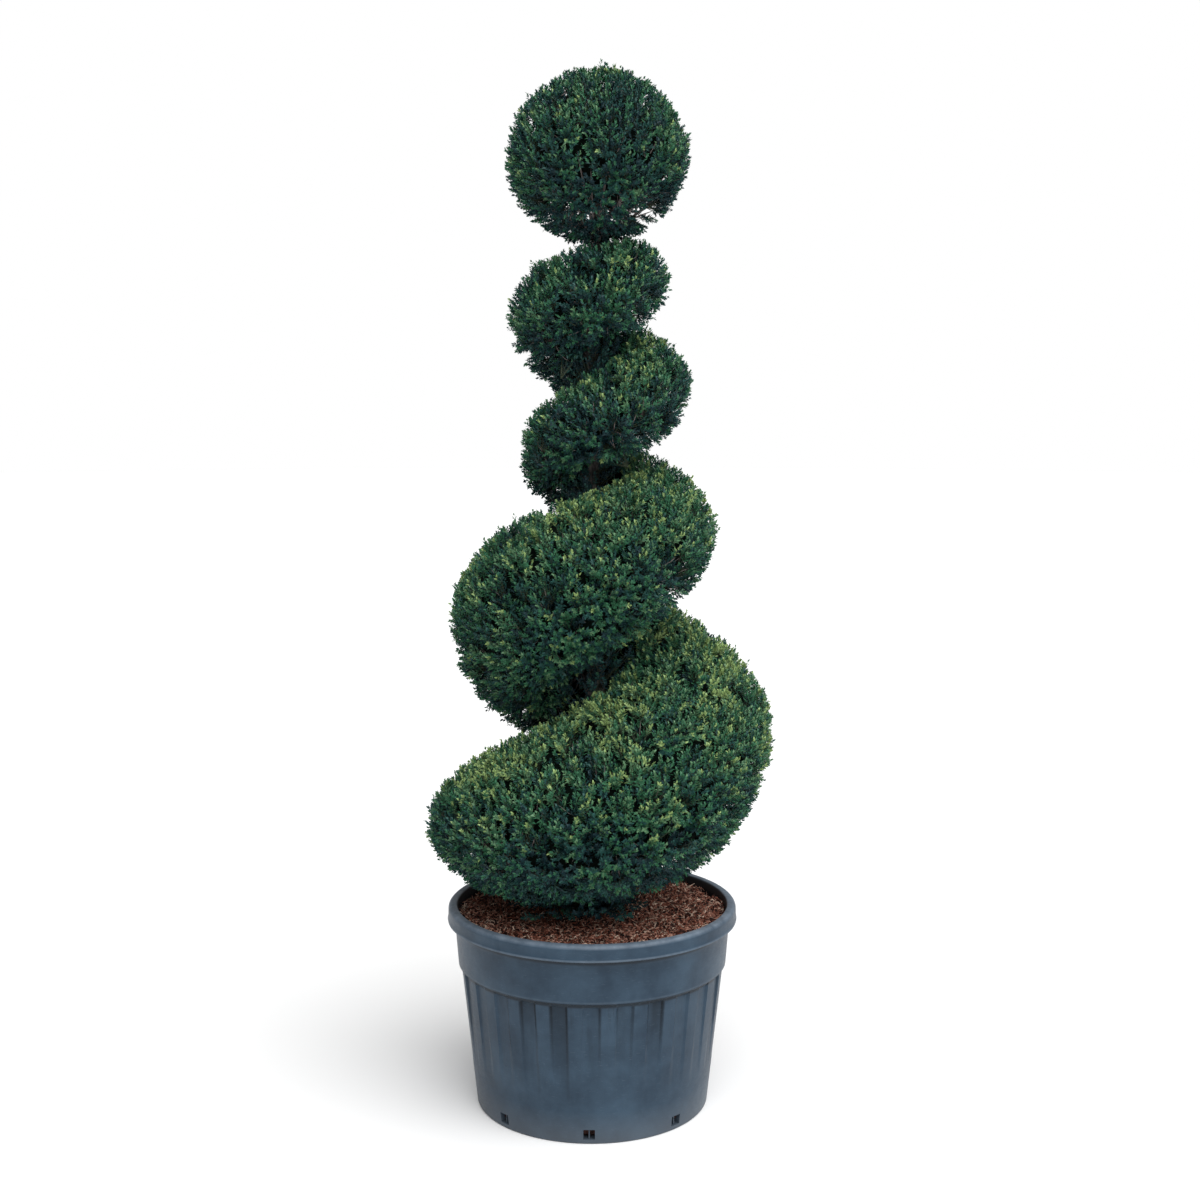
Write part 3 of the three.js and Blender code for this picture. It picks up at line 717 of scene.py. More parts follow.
# %% Make the mulch
finish_piece("mulch_ground", mulch_ground(), damp_ground(), ["mulch"])
mulch_rng = np.random.default_rng(31)
sliver_models = [sliver_model(bend) for bend in (3, 8, 14)]
shares = np.array([share for _, _, share in SLIVER_TONES])
for tone, colour, share in SLIVER_TONES:
    number = int(MULCH["slivers"] * share / shares.sum())
    batches = [copies(model, *litter(number // len(sliver_models), mulch_rng)) for model in sliver_models]
    mesh = mesh_of("slivers_" + tone, *join_arrays(batches))
    shredded_bark = new_material("bark_sliver_" + tone, colour, roughness=0.85)[0]
    finish_piece("mulch_slivers_" + tone, mesh, shredded_bark)

# %% [markdown]
# ## The screw of foliage, as a rule
#
# The topiary's outline is a tube of varying section that climbs round the trunk. The rule below is the one
# that the frame's solids were made by. "turn" counts half turns from the left-hand side and "around" runs
# round the section, from its outer edge upwards. With arrays for both, one call places thousands of points.

# %% Sizes of the plant
STATIONS = np.array([
    # turn, height, reach, rise, drop
    (-0.35, 671, 360, 146, 92),
    (0, 754, 439, 222, 168),
    (1, 1019, 481, 279, 315),
    (2, 1325, 378, 263, 267),
    (3, 1583, 324, 164, 182),
    (4, 1762, 198, 131, 95),
    (5, 1957, 267, 121, 148),
    (6, 2115, 221, 157, 124),
    (7, 2239, 203, 98, 119),
    (7.7, 2293, 150, 28, 62),
])
TURNS, HEIGHTS, REACHES, RISES, DROPS = STATIONS.T
FIRST, LAST = TURNS[0], TURNS[-1]
# The section starts this far from the axis. Its top and its underside lie at these shares of the way out.
INNER, CROWN_AT, BELLY_AT = 50, 0.255, 0.5
SKIRT = 0.4  # the inner half of the underside hangs lower by up to this share
CROWN_BEND, BELLY_BEND, SKIRT_BEND = 2, 1.8, 6  # 2 is round, less is pointed and more is square
SHAFT_FOOT, SHAFT_TOP, SHAFT_LEAN = 96, 58, 6  # the room left clear round the trunk, and its wall's lean
DOME = 0.2  # how many half turns each rounded end takes
MASSES = 14
BALL = {"x": 17, "height": 2538, "radius": 243, "crown": 240, "belly": 218}
GROUND = MULCH["height"] + MULCH["gap"]
TRUNK = {
    "foot": 37, "tip": 9, "tip_height": 2480, "lean": 16, "sway": 7,
    "flare": 20, "flare_height": 55, "buttress": 5, "buttresses": 5,
}


# %% The rule
def along_screw(sizes, turn):
    """Smooth value of one of the stations' sizes at any turn."""
    last = len(TURNS) - 1
    numbers = np.arange(len(TURNS))
    before, after = np.maximum(numbers - 1, 0), np.minimum(numbers + 1, last)
    slopes = (sizes[after] - sizes[before]) / (TURNS[after] - TURNS[before])
    i = np.clip(np.searchsorted(TURNS, turn, side="right") - 1, 0, last - 1)
    span = TURNS[i + 1] - TURNS[i]
    s = (turn - TURNS[i]) / span
    return (
        (2 * s**3 - 3 * s**2 + 1) * sizes[i]
        + (s**3 - 2 * s**2 + s) * span * slopes[i]
        + (3 * s**2 - 2 * s**3) * sizes[i + 1]
        + (s**3 - s**2) * span * slopes[i + 1]
    )


def shaft_radius(turn):
    """How far from the axis the foliage starts."""
    return mix(SHAFT_FOOT, SHAFT_TOP, (turn - FIRST) / (LAST - FIRST))


def section_at(turn, around, inset=0.0):
    """Heart and edge of the section, each as radius and height, "inset" inside the clipped outline."""
    c, s = np.cos(around), np.sin(around)
    up = s > 0
    under = ~up & (c < 0)
    bend = 2 / np.where(up, CROWN_BEND, np.where(under, SKIRT_BEND, BELLY_BEND))
    shaft = shaft_radius(turn)
    height = along_screw(HEIGHTS, turn)
    # Shears leave shallow waves, less than 10 mm deep.
    shears = 5 * np.sin(7.3 * turn + 2 * around) + 4 * np.sin(15.1 * turn - 3 * around + 1)
    reach = along_screw(REACHES, turn) - inset + shears
    ridge = mix(INNER, reach, np.where(up, CROWN_AT, BELLY_AT))
    wide = np.where(c > 0, reach - ridge, INNER - ridge)
    drop = -(along_screw(DROPS, turn) - inset) * np.where(under, 1 - SKIRT * c, 1)
    tall = np.where(up, along_screw(RISES, turn) - inset, drop)
    r = np.maximum(ridge + wide * np.abs(c) ** bend, shaft + SHAFT_LEAN * (1 + c))
    z = height + tall * np.abs(s) ** bend
    heart = np.maximum(mix(INNER, reach, BELLY_AT), shaft + 10)
    return heart, height + 0 * r, r, z


def at_turn(turn, r, z):
    """A point from its turn, its radius and its height."""
    angle = np.pi * (1 + turn)
    return np.stack([r * np.cos(angle), r * np.sin(angle), z], axis=-1)


def end_share(turn):
    """How much of the section is left near the two rounded ends."""
    s = np.clip(1 - np.minimum(turn - FIRST, LAST - turn) / DOME, 0, 1)
    return np.maximum(0.12, np.sqrt(1 - s * s))


def screw_surface(turn, around, inset=0.0):
    """The clipped outline of the screw, or a surface that lies "inset" inside it."""
    heart_r, heart_z, edge_r, edge_z = section_at(turn, around, inset)
    share = end_share(turn)
    return at_turn(turn, mix(heart_r, edge_r, share), mix(heart_z, edge_z, share))


def ball_surface(angle, tilt, inset=0.0):
    """The ball, by its angle round the trunk and its tilt from level."""
    tall = np.where(tilt > 0, BALL["crown"], BALL["belly"]) - inset
    r = (BALL["radius"] - inset) * np.cos(tilt)
    height = BALL["height"] + tall * np.sin(tilt)
    return np.stack([BALL["x"] + r * np.cos(angle), r * np.sin(angle), height], axis=-1)


def trunk_line(z):
    """The trunk's centre at each height: it leans to the right and sways a little."""
    s = (z - GROUND) / (TRUNK["tip_height"] - GROUND)
    x = TRUNK["lean"] * s * s + TRUNK["sway"] * np.sin(2 * np.pi * s)
    return np.stack([x, 0.6 * TRUNK["sway"] * np.sin(3 * np.pi * s), z], axis=-1)


def trunk_radius(z, angle=0.0):
    """The trunk's radius at a height, with its root flare and the buttresses in it."""
    s = (z - GROUND) / (TRUNK["tip_height"] - GROUND)
    roots = TRUNK["flare"] + TRUNK["buttress"] * np.cos(TRUNK["buttresses"] * angle)
    flare = np.exp((GROUND - z) / TRUNK["flare_height"]) * roots
    return mix(TRUNK["foot"], TRUNK["tip"], np.maximum(s, 0) ** 0.8) + flare


lowest = round(float(along_screw(HEIGHTS, np.array(0.0))))
print("foliage from", lowest, "to", BALL["height"] + BALL["crown"], "mm")

# %% [markdown]
# ## Trunk and boughs
#
# The trunk of an old clipped evergreen is slim, furrowed lengthwise and flared at the ground. It is made of
# rings up its centre line, each bridged to the next, and its furrows are real relief. Fourteen boughs leave
# it, one for each mass of foliage, and rise outwards to where the foliage begins.

# %% Trunk and bough meshes
TRUNK_RINGS, TRUNK_SIDES, TRUNK_RELIEF = 190, 44, 0.13
BOUGH = {
    "share": 0.42, "taper": 0.6, "tip": 0.25, "rise": 0.9, "short": 16,
    "steps": 12, "sides": 14, "relief": 0.12,
}


def sleeve(bm, grid):
    """A closed body from rows of points: rings bridged one to the next, and capped at both ends."""
    edges = []
    for row in grid:
        ring = [bm.verts.new(p) for p in row]
        edges.append([bm.edges.new((a, b)) for a, b in zip(ring, ring[1:] + ring[:1])])
    for lower, upper in zip(edges, edges[1:]):
        bmesh.ops.bridge_loops(bm, edges=lower + upper)
    for end in (edges[0], edges[-1]):
        bmesh.ops.edgeloop_fill(bm, edges=end)


def bark_relief(angle, z):
    """How far the bark stands out: long furrows round the stem, broken up along it."""
    furrow = Vector((math.cos(angle) * 2.6, math.sin(angle) * 2.6, z / 160))
    fine = Vector((math.cos(angle) * 6 + 5, math.sin(angle) * 6 + 1, z / 45 + 3))
    return 1.1 * noise.noise(furrow) + 0.6 * noise.noise(fine)


def limb_rings(centres, radii, relief):
    """Rings of points round a line of centres, with bark relief. "radii" has a row for each ring."""
    frames = frames_along(unit(np.gradient(centres, axis=0)), np.zeros(len(centres)))
    angles = ring_angles(radii.shape[1])
    bark = np.array([[bark_relief(angle, z) for angle in angles] for z in centres[:, 2]])
    cos, sin = np.cos(angles)[None, :, None], np.sin(angles)[None, :, None]
    out = cos * frames[:, None, 1] + sin * frames[:, None, 2]
    return centres[:, None] + out * (radii * (1 + relief * bark))[..., None]


def ring_angles(sides):
    """Evenly spaced angles once round."""
    return np.arange(sides) * 2 * np.pi / sides


def trunk_and_boughs():
    """The trunk, its rings closest together at the flare, and a bough to each mass."""
    bm = bmesh.new()
    heights = GROUND + (TRUNK["tip_height"] - GROUND) * np.linspace(0, 1, TRUNK_RINGS) ** 1.35
    radii = trunk_radius(heights[:, None], ring_angles(TRUNK_SIDES) - np.pi / 2)
    sleeve(bm, limb_rings(trunk_line(heights), radii, TRUNK_RELIEF))
    for middle in mass_middles():
        points, thick = bough_line(middle)
        sleeve(bm, limb_rings(points, np.repeat(thick[:, None], BOUGH["sides"], axis=1), BOUGH["relief"]))
    return mesh_from(bm, "trunk_bark")


def mass_middles():
    """The turn at the middle of each mass of the screw."""
    return FIRST + (np.arange(MASSES) + 0.5) * (LAST - FIRST) / MASSES


def bough_line(turn):
    """Points and thickness along a bough, from the trunk into the heart of its mass."""
    shaft = shaft_radius(turn)
    height = along_screw(HEIGHTS, turn)
    foot = height - shaft * BOUGH["rise"]
    start = trunk_line(foot)
    elbow = at_turn(turn, 0.6 * shaft, height - 0.3 * shaft)
    joint = at_turn(turn, shaft - BOUGH["short"], height)
    heart_r, heart_z = mix(shaft, along_screw(REACHES, turn), 0.45), height + 0.12 * along_screw(RISES, turn)
    heart = at_turn(turn, heart_r, heart_z)
    t = np.linspace(0, 1, BOUGH["steps"])[:, None]
    first = (1 - t) ** 2 * start + 2 * t * (1 - t) * elbow + t**2 * joint
    onward = mix(joint, heart, t[1:])
    thick = trunk_radius(foot) * BOUGH["share"]
    outer = thick * mix(BOUGH["taper"], BOUGH["tip"], t[1:, 0])
    sizes = np.concatenate([mix(thick, thick * BOUGH["taper"], t[:, 0]), outer])
    return np.concatenate([first, onward]), sizes


# %% [markdown]
# ### Bark
#
# The bark is thin and grey-brown, paler on the ridges of its furrows, with a green-grey bloom of algae. Its
# pattern is stretched along the stem, and a bump adds the cracks that are finer than the relief.


# %% Bark material
def furrowed_bark():
    """Dry furrowed bark: quite dull, dark in its furrows, and green where algae grow."""
    material, shader = new_material("furrowed_bark", "#5f5b58", roughness=0.9)
    place = add_node(material, "TexCoord", {}).outputs["Object"]
    tall = add_node(material, "Mapping", {"Vector": place, "Scale": (1, 1, 0.18)})
    furrowing = {"Vector": tall, "Scale": patches(6.67), "Detail": 6, "Roughness": 0.65}
    furrows = add_node(material, "TexNoise", furrowing)
    tones = add_node(material, "ValToRGB", {"Fac": furrows})
    colour_steps(tones, (0.36, "#2c2a2a"), (0.66, "#7f7a77"))
    bloom = add_node(material, "TexNoise", {"Vector": place, "Scale": patches(45.5), "Detail": 4})
    thickest = {"Value": bloom, "From Min": 0.5, "From Max": 0.75, "To Max": 0.4}
    algae = add_node(material, "MapRange", thickest)
    green = add_node(material, "Mix", {0: algae, 6: tones, 7: linear("#5d6653")}, data_type="RGBA")
    material.node_tree.links.new(green.outputs[2], shader.inputs["Base Color"])
    cracks = add_node(material, "Bump", {"Height": furrows, "Strength": 0.7, "Distance": 0.003})
    material.node_tree.links.new(cracks.outputs["Normal"], shader.inputs["Normal"])
    return material


# %% Make the trunk
BOUGH_NODES = [f"bough_{i + 1:02d}" for i in range(MASSES)]
trunk_mesh = trunk_and_boughs()
trunk_mesh.shade_smooth()
finish_piece("trunk_bark", trunk_mesh, furrowed_bark(), ["trunk", *BOUGH_NODES])

# %% [markdown]
# ## Where the foliage grows
#
# Every shoot of the clipped surface has a place on the outline and grows towards it. Places are dealt out
# evenly by area: the surface is cut into small cells, and a steady stride through their summed areas picks
# the places. The underside and the wall along the trunk get less light, so they get fewer shoots. Some places
# let the sky through, and nothing grows across them.

# %% Sizes of the growth
GROWTH = {"shoots": 31000, "twigs": 1500, "branches": 330, "inner": 9000}
# "depth" is how far inside the clipped outline the next stems leave this one, and "short" how far inside the
# outline its own tip is.
BRANCH = {
    "depth": 150, "short": 40, "points": 8, "thinnest": 3.2, "thickest": 6.0, "tip": 0.25,
    "wander": 12, "sag": 14,
}
TWIG = {"depth": 78, "short": 14, "points": 5, "thinnest": 1.5, "thickest": 2.6, "tip": 0.3, "wander": 6}
# Thin places where the sky shows from front to back: x, height and radius.
SKY = np.array([
    (152, 2412, 20), (122, 2394, 14), (142, 2376, 12),
    (-165, 2036, 12), (-150, 2062, 8), (114, 2136, 11),
    (-187, 1752, 12), (-178, 1775, 8), (221, 1941, 7),
    (462, 896, 12), (447, 872, 8), (215, 1396, 12),
    (196, 1408, 8), (-98, 1198, 5), (-16, 2036, 9),
])
EYE = np.array(CAMERA_PLACE) / MM  # the sky is seen through the plant from here


# %% Dealing out places
def deal(surface, us, vs, count, density, rng):
    """Places spread by area over surface(u, v). Returns points, outward directions, u and v."""
    u, v = np.meshgrid(us, vs, indexing="ij")
    corners = surface(u, v)
    along = corners[1:, :-1] - corners[:-1, :-1]
    across = corners[:-1, 1:] - corners[:-1, :-1]
    facing = np.cross(along, across)
    outward = unit(facing)
    middles = corners[:-1, :-1] + (along + across) / 2
    weight = np.linalg.norm(facing, axis=-1) * density(middles, outward, u[:-1, :-1])
    total = np.cumsum(weight.ravel())
    picks = (np.arange(count) + rng.random(count)) / count * total[-1]
    cell = np.minimum(np.searchsorted(total, picks), total.size - 1)
    i, j = np.unravel_index(cell, weight.shape)
    s, t = rng.random((2, count, 1))
    return corners[i, j] + along[i, j] * s + across[i, j] * t, outward[i, j], u[i, j], v[i, j]


def screw_density(points, outward, turn):
    """Fewer shoots below, and fewer still along the trunk."""
    radius = np.hypot(points[..., 0], points[..., 1])
    below = np.clip((-outward[..., 2] - 0.25) / 0.5, 0, 1)
    at_trunk = np.clip((shaft_radius(turn) + 30 - radius) / 20, 0, 1) * (np.abs(outward[..., 2]) < 0.5)
    return (1 - 0.22 * below) * (1 - 0.8 * at_trunk)


def ball_density(points, outward, angle):
    """Fewer shoots under the ball."""
    below = np.clip((-outward[..., 2] - 0.45) / 0.45, 0, 1)
    return 1 - 0.3 * below


def area_of(surface, us, vs):
    """The area of surface(u, v) in square millimetres, cell by cell."""
    u, v = np.meshgrid(us, vs, indexing="ij")
    corners = surface(u, v)
    along, across = corners[1:, :-1] - corners[:-1, :-1], corners[:-1, 1:] - corners[:-1, :-1]
    return float(np.linalg.norm(np.cross(along, across), axis=-1).sum())


SCREW_GRID = (np.linspace(FIRST, LAST, 900), np.linspace(-np.pi, np.pi, 181))
BALL_GRID = (np.linspace(0, 2 * np.pi, 181), np.linspace(-np.pi / 2, np.pi / 2, 91))
BALL_AREA = area_of(ball_surface, *BALL_GRID)
BALL_SHARE = BALL_AREA / (BALL_AREA + area_of(screw_surface, *SCREW_GRID))


def deal_foliage(count, seed):
    """Places over the whole plant, with the number of the mass that each belongs to."""
    rng = np.random.default_rng(seed)
    on_ball = int(count * BALL_SHARE)
    points, outward, turn, _ = deal(screw_surface, *SCREW_GRID, count - on_ball, screw_density, rng)
    mass = np.clip((turn - FIRST) / (LAST - FIRST) * MASSES, 0, MASSES - 1).astype(int)
    ball_points, ball_outward, _, _ = deal(ball_surface, *BALL_GRID, on_ball, ball_density, rng)
    mass = np.concatenate([mass, np.full(on_ball, MASSES)])
    return np.concatenate([points, ball_points]), np.concatenate([outward, ball_outward]), mass


def growing_way(points, outward):
    """The way shoots grow: outwards and upwards, and under the plant more sideways, away from the trunk."""
    side = points - trunk_line(points[:, 2])
    side[:, 2] = 0
    down = np.maximum(-outward[:, 2:], 0)
    return unit(0.62 * outward + 0.62 * (1 - down) * np.array([[0, 0, 1.0]]) + 0.7 * down * unit(side))


def distance_to_sky(points):
    """How far each point lies outside the nearest thin place, in units of that place's radius."""
    away = np.full(len(points), 99.0)
    for x, z, radius in SKY:
        start = np.array([x, 0, z])
        sight = unit(start - EYE)
        offset = points - start
        apart = np.linalg.norm(offset - (offset @ sight)[:, None] * sight, axis=1)
        away = np.minimum(away, apart / radius)
    return away


print("share of the foliage on the ball:", round(BALL_SHARE, 3))

# %% [markdown]
# ## Branches, twigs and shoots
#
# The growth branches three times: from the bough of each mass to branches, from their ends to twigs, and from
# the twigs to the shoots that bear the leaves. Each place finds the nearest end of the order below it inside
# its own mass, so the masses stay apart as they do on the trained plant.


# %% The orders of branching
def nearest_within_mass(points, mass, ends, end_mass):
    """For each point, the number of the nearest end in the same mass."""
    found = np.zeros(len(points), int)
    for m in range(MASSES + 1):
        mine = np.flatnonzero(mass == m)
        theirs = np.flatnonzero(end_mass == m)
        gaps = np.linalg.norm(points[mine, None] - ends[None, theirs], axis=2)
        found[mine] = theirs[gaps.argmin(axis=1)]
    return found


def branch_roots(ends, mass, rng):
    """Where each branch leaves its bough, or inside the ball its part of the trunk."""
    roots = np.zeros_like(ends)
    for m, middle in enumerate(mass_middles()):
        mine = np.flatnonzero(mass == m)
        line, _ = bough_line(middle)
        roots[mine] = line[rng.integers(6, len(line) - 1, len(mine))]
    mine = np.flatnonzero(mass == MASSES)
    apart = np.hypot(ends[mine, 0] - BALL["x"], ends[mine, 1])
    heights = np.clip(ends[mine, 2] - 0.9 * apart - 30, 2330, TRUNK["tip_height"] - 20)
    roots[mine] = trunk_line(heights)
    return roots


def tubes(paths, radii, sides):
    """Tapering stems as points and triangles. Each path is a row of points that ends in a sharp tip.

    There are tens of thousands of them and no two are alike, so they are laid out in one step as arrays.
    """
    count, length, _ = paths.shape
    along = unit(paths[:, 1:] - paths[:, :-1])
    frames = frames_along(along.reshape(-1, 3), np.zeros(count * (length - 1)))
    frames = frames.reshape(count, length - 1, 3, 3)
    turns = np.arange(sides) / sides * 2 * np.pi
    ring = np.cos(turns)[:, None] * frames[:, :, None, 1] + np.sin(turns)[:, None] * frames[:, :, None, 2]
    rings = paths[:, :-1, None] + ring * radii[:, :-1, None, None]
    per_stem = (length - 1) * sides + 1
    points = np.concatenate([rings.reshape(count, -1, 3), paths[:, -1:]], axis=1)
    faces = [(0, k + 1, k) for k in range(1, sides - 1)]
    for j in range(length - 2):
        for k in range(sides):
            a, b = j * sides + k, j * sides + (k + 1) % sides
            faces += [(a, b, b + sides), (a, b + sides, a + sides)]
    last = (length - 2) * sides
    faces += [(last + k, last + (k + 1) % sides, per_stem - 1) for k in range(sides)]
    numbers = np.arange(count)[:, None, None] * per_stem + np.array(faces)[None]
    return points.reshape(-1, 3), numbers.reshape(-1, 3)


def curved(start, middle, end, steps):
    """Points on a curve that bends towards a middle point."""
    t = np.linspace(0, 1, steps)[None, :, None]
    return (1 - t) ** 2 * start[:, None] + 2 * t * (1 - t) * middle[:, None] + t**2 * end[:, None]


def taper(stem, count, rng):
    """A radius for every point of each stem, from its foot to its tip."""
    thickness = rng.uniform(stem["thinnest"], stem["thickest"], (count, 1))
    return np.linspace(1, stem["tip"], stem["points"])[None] * thickness


# %% Branches and twigs
growth_rng = np.random.default_rng(47)
branch_points, branch_out, branch_mass = deal_foliage(GROWTH["branches"], seed=11)
branch_way = growing_way(branch_points, branch_out)
room = np.linalg.norm(branch_points - trunk_line(branch_points[:, 2]), axis=1)
depth = np.minimum(BRANCH["depth"], 0.45 * room)[:, None]
branch_ends = branch_points - branch_way * depth
roots = branch_roots(branch_ends, branch_mass, growth_rng)
wander = growth_rng.normal(0, BRANCH["wander"], branch_ends.shape)
elbows = mix(roots, branch_ends, 0.5) + wander - [[0, 0, BRANCH["sag"]]]
branch_paths = curved(roots, elbows, branch_points - branch_way * BRANCH["short"], BRANCH["points"])
branch_radii = taper(BRANCH, len(roots), growth_rng)

twig_points, twig_out, twig_mass = deal_foliage(GROWTH["twigs"], seed=12)
twig_way = growing_way(twig_points, twig_out)
twig_tips = twig_points - twig_way * np.minimum(TWIG["depth"], 0.9 * depth.mean())
nearest = nearest_within_mass(twig_tips, twig_mass, branch_ends, branch_mass)
twig_starts = branch_ends[nearest]
twig_elbows = mix(twig_starts, twig_tips, 0.55) + growth_rng.normal(0, TWIG["wander"], twig_tips.shape)
twig_paths = curved(twig_starts, twig_elbows, twig_points - twig_way * TWIG["short"], TWIG["points"])
twig_radii = taper(TWIG, len(twig_tips), growth_rng)
print("branches:", len(branch_paths), "twigs:", len(twig_paths))

# %% [markdown]
# ### Shoots
#
# A shoot starts at its twig and ends at the clipped outline, give or take a few millimetres. Shears leave
# hollows where a shoot was cut back further, and a few fresh shoots stand out, most of them on top of the
# ball, where the last clipping is longest ago.

# %% How far the shears went in
HOLLOWS = {"size": 62, "seed": 4, "level": 0.16, "slope": 120, "deepest": 32}
TUFTS = {"size": 19, "seed": 8, "level": 0.06, "slope": 70, "deepest": 20}
BALL_EVENNESS = 0.45  # the ball's hollows are this much of the others' depth
THIN_SIDE = {"depth": 14, "top": BALL["height"] + 40, "fade": 120}  # low on the right of the ball
STRAYS = {"on_top": 0.045, "elsewhere": 0.003, "shortest": 8, "longest": 18}


def dips(noise_there, shape):
    """How deep the surface lies where its noise is low, in millimetres."""
    return np.clip(-(noise_there + shape["level"]) * shape["slope"], 0, shape["deepest"])


shoot_points, shoot_out, shoot_mass = deal_foliage(GROWTH["shoots"], seed=13)
on_ball = shoot_mass == MASSES
on_top = on_ball & (shoot_out[:, 2] > 0.8)
hollows = lumps(shoot_points, HOLLOWS["size"], HOLLOWS["seed"])
tufts = lumps(shoot_points, TUFTS["size"], TUFTS["seed"])
cut_back = (dips(hollows, HOLLOWS) + dips(tufts, TUFTS)) * np.where(on_ball, BALL_EVENNESS, 1)
rightward = np.clip((shoot_points[:, 0] - BALL["x"]) / BALL["radius"], 0, 1)
low_down = np.clip((THIN_SIDE["top"] - shoot_points[:, 2]) / THIN_SIDE["fade"], 0, 1)
cut_back += THIN_SIDE["depth"] * on_ball * rightward * low_down
print("deepest cut:", round(float(cut_back.max())), "mm")

# %% Shoots, each from its twig to its tip
proud = growth_rng.exponential(3.0, len(shoot_points)).clip(0, 12) - 5 + 8 * np.maximum(tufts, 0)
stray = growth_rng.random(len(shoot_points)) < np.where(on_top, STRAYS["on_top"], STRAYS["elsewhere"])
stray_length = growth_rng.uniform(STRAYS["shortest"], STRAYS["longest"], len(shoot_points))
proud = np.where(stray, stray_length, proud)
own_twig = nearest_within_mass(shoot_points, shoot_mass, twig_points, twig_mass)
shoot_starts = twig_tips[own_twig]
shoot_tips = shoot_points + shoot_out * (proud - cut_back)[:, None]
shoot_way = unit(shoot_tips - shoot_starts)
keep = distance_to_sky(shoot_tips - shoot_way * 15) > growth_rng.uniform(0.9, 1.5, len(shoot_tips))
print("shoots:", int(keep.sum()), "left out for the sky:", int((~keep).sum()))

# %% [markdown]
# ### Shade shoots
#
# Between the turns, and between the lowest turn and the mulch, short shoots break from the trunk itself. They
# are few, and their leaves get the darkest tints as painted shade. They close the view through the plant
# without touching its clipped outline. Places are tried at random round the trunk, and only those that lie
# between two masses are kept.

# %% Shade shoots
LAPS = 6  # turns of the rule to look through, more than the screw has
# Some hang over the mulch: how many do, how far out from the trunk, and how high above the ground.
HEM = {"share": 0.11, "from": 55, "to": 165, "to_at_front": 305, "low": 16, "high": 80}


def beside_masses(points):
    """How far above or below the nearest mass each point is, and less than nothing inside a mass."""
    radius = np.hypot(points[:, 0], points[:, 1])
    phase = np.arctan2(points[:, 1], points[:, 0]) / np.pi - 1
    away = np.full(len(points), 999.0)
    for lap in range(LAPS):
        turn = phase + 2 * lap
        there = (turn > FIRST + 0.05) & (turn < LAST - 0.05)
        reach, height = along_screw(REACHES, turn), along_screw(HEIGHTS, turn)
        ridge_up, ridge_low = mix(INNER, reach, CROWN_AT), mix(INNER, reach, BELLY_AT)
        half_crown = np.where(radius < ridge_up, ridge_up - INNER, reach - ridge_up)
        in_crown = np.abs(radius - ridge_up) / half_crown
        in_belly = np.clip((ridge_low - radius) / (ridge_low - INNER), 0, 1) ** (SKIRT_BEND / 2)
        top = height + along_screw(RISES, turn) * np.sqrt(np.clip(1 - in_crown**2, 0, 1))
        belly_shape = (1 + SKIRT * in_belly) * (1 - in_belly**2) ** (1 / SKIRT_BEND)
        low = height - along_screw(DROPS, turn) * belly_shape
        outside = np.maximum(points[:, 2] - top, low - points[:, 2])
        away = np.where(there, np.minimum(away, outside), away)
    return away


def shade_shoots(count, rng):
    """Tips and starts of the shoots in the shade, along the trunk and over the mulch."""
    angle = rng.random(count) * 2 * np.pi
    height = rng.uniform(GROUND + 40, BALL["height"] - BALL["belly"] + 40, count)
    radius = rng.uniform(34, 150, count) * np.where(height < 1500, 1, 0.8)
    tips = at_turn(angle / np.pi - 1, radius, height)
    gap = beside_masses(tips)
    keep = (gap > -12) & (gap < 60) & (radius < 0.42 * np.interp(height, HEIGHTS, REACHES))
    low = rng.random(count) < HEM["share"]
    front_left = np.clip(np.cos(angle - math.radians(245)), 0, 1)
    spread = rng.uniform(HEM["from"], mix(HEM["to"], HEM["to_at_front"], front_left), count)
    above_ground = rng.uniform(HEM["low"], HEM["high"], count) + 0.1 * spread
    hem = at_turn(angle / np.pi - 1, spread, GROUND + above_ground)
    tips = np.where(low[:, None], hem, tips)
    # Under the lowest turn the shoots hang down in tufts, and only where it is lowest, at the front left.
    in_tuft = lumps(hem * [1, 1, 0], size=75, seed=12) > 0.02 - 0.2 * front_left
    keep = np.where(low, (beside_masses(hem) > -20) & in_tuft & (front_left > 0.1), keep)
    lean = np.where(low, 0.5, 0.9)[:, None]
    foot = trunk_line(np.maximum(tips[:, 2] - lean[:, 0] * np.hypot(tips[:, 0], tips[:, 1]), GROUND + 8))
    return tips[keep], mix(foot, tips, 0.25)[keep]


shade_tips, shade_starts = shade_shoots(GROWTH["inner"], np.random.default_rng(23))
clear = distance_to_sky(shade_tips) > 1.3
shade_tips, shade_starts = shade_tips[clear], shade_starts[clear]
print("shade shoots:", len(shade_tips))

# %% [markdown]
# ### A spray of leaves
#
# One leaf is a hexagon drawn out to a point, folded along its midrib and bent back a little, four triangles
# in all. Leaves further in are kites of two. A spray is ten leaves on a shoot in crossed pairs, wide open at
# the foot and nearly upright round the tip. The lower leaves and the young tip leaves are kept apart, because
# they differ in colour.


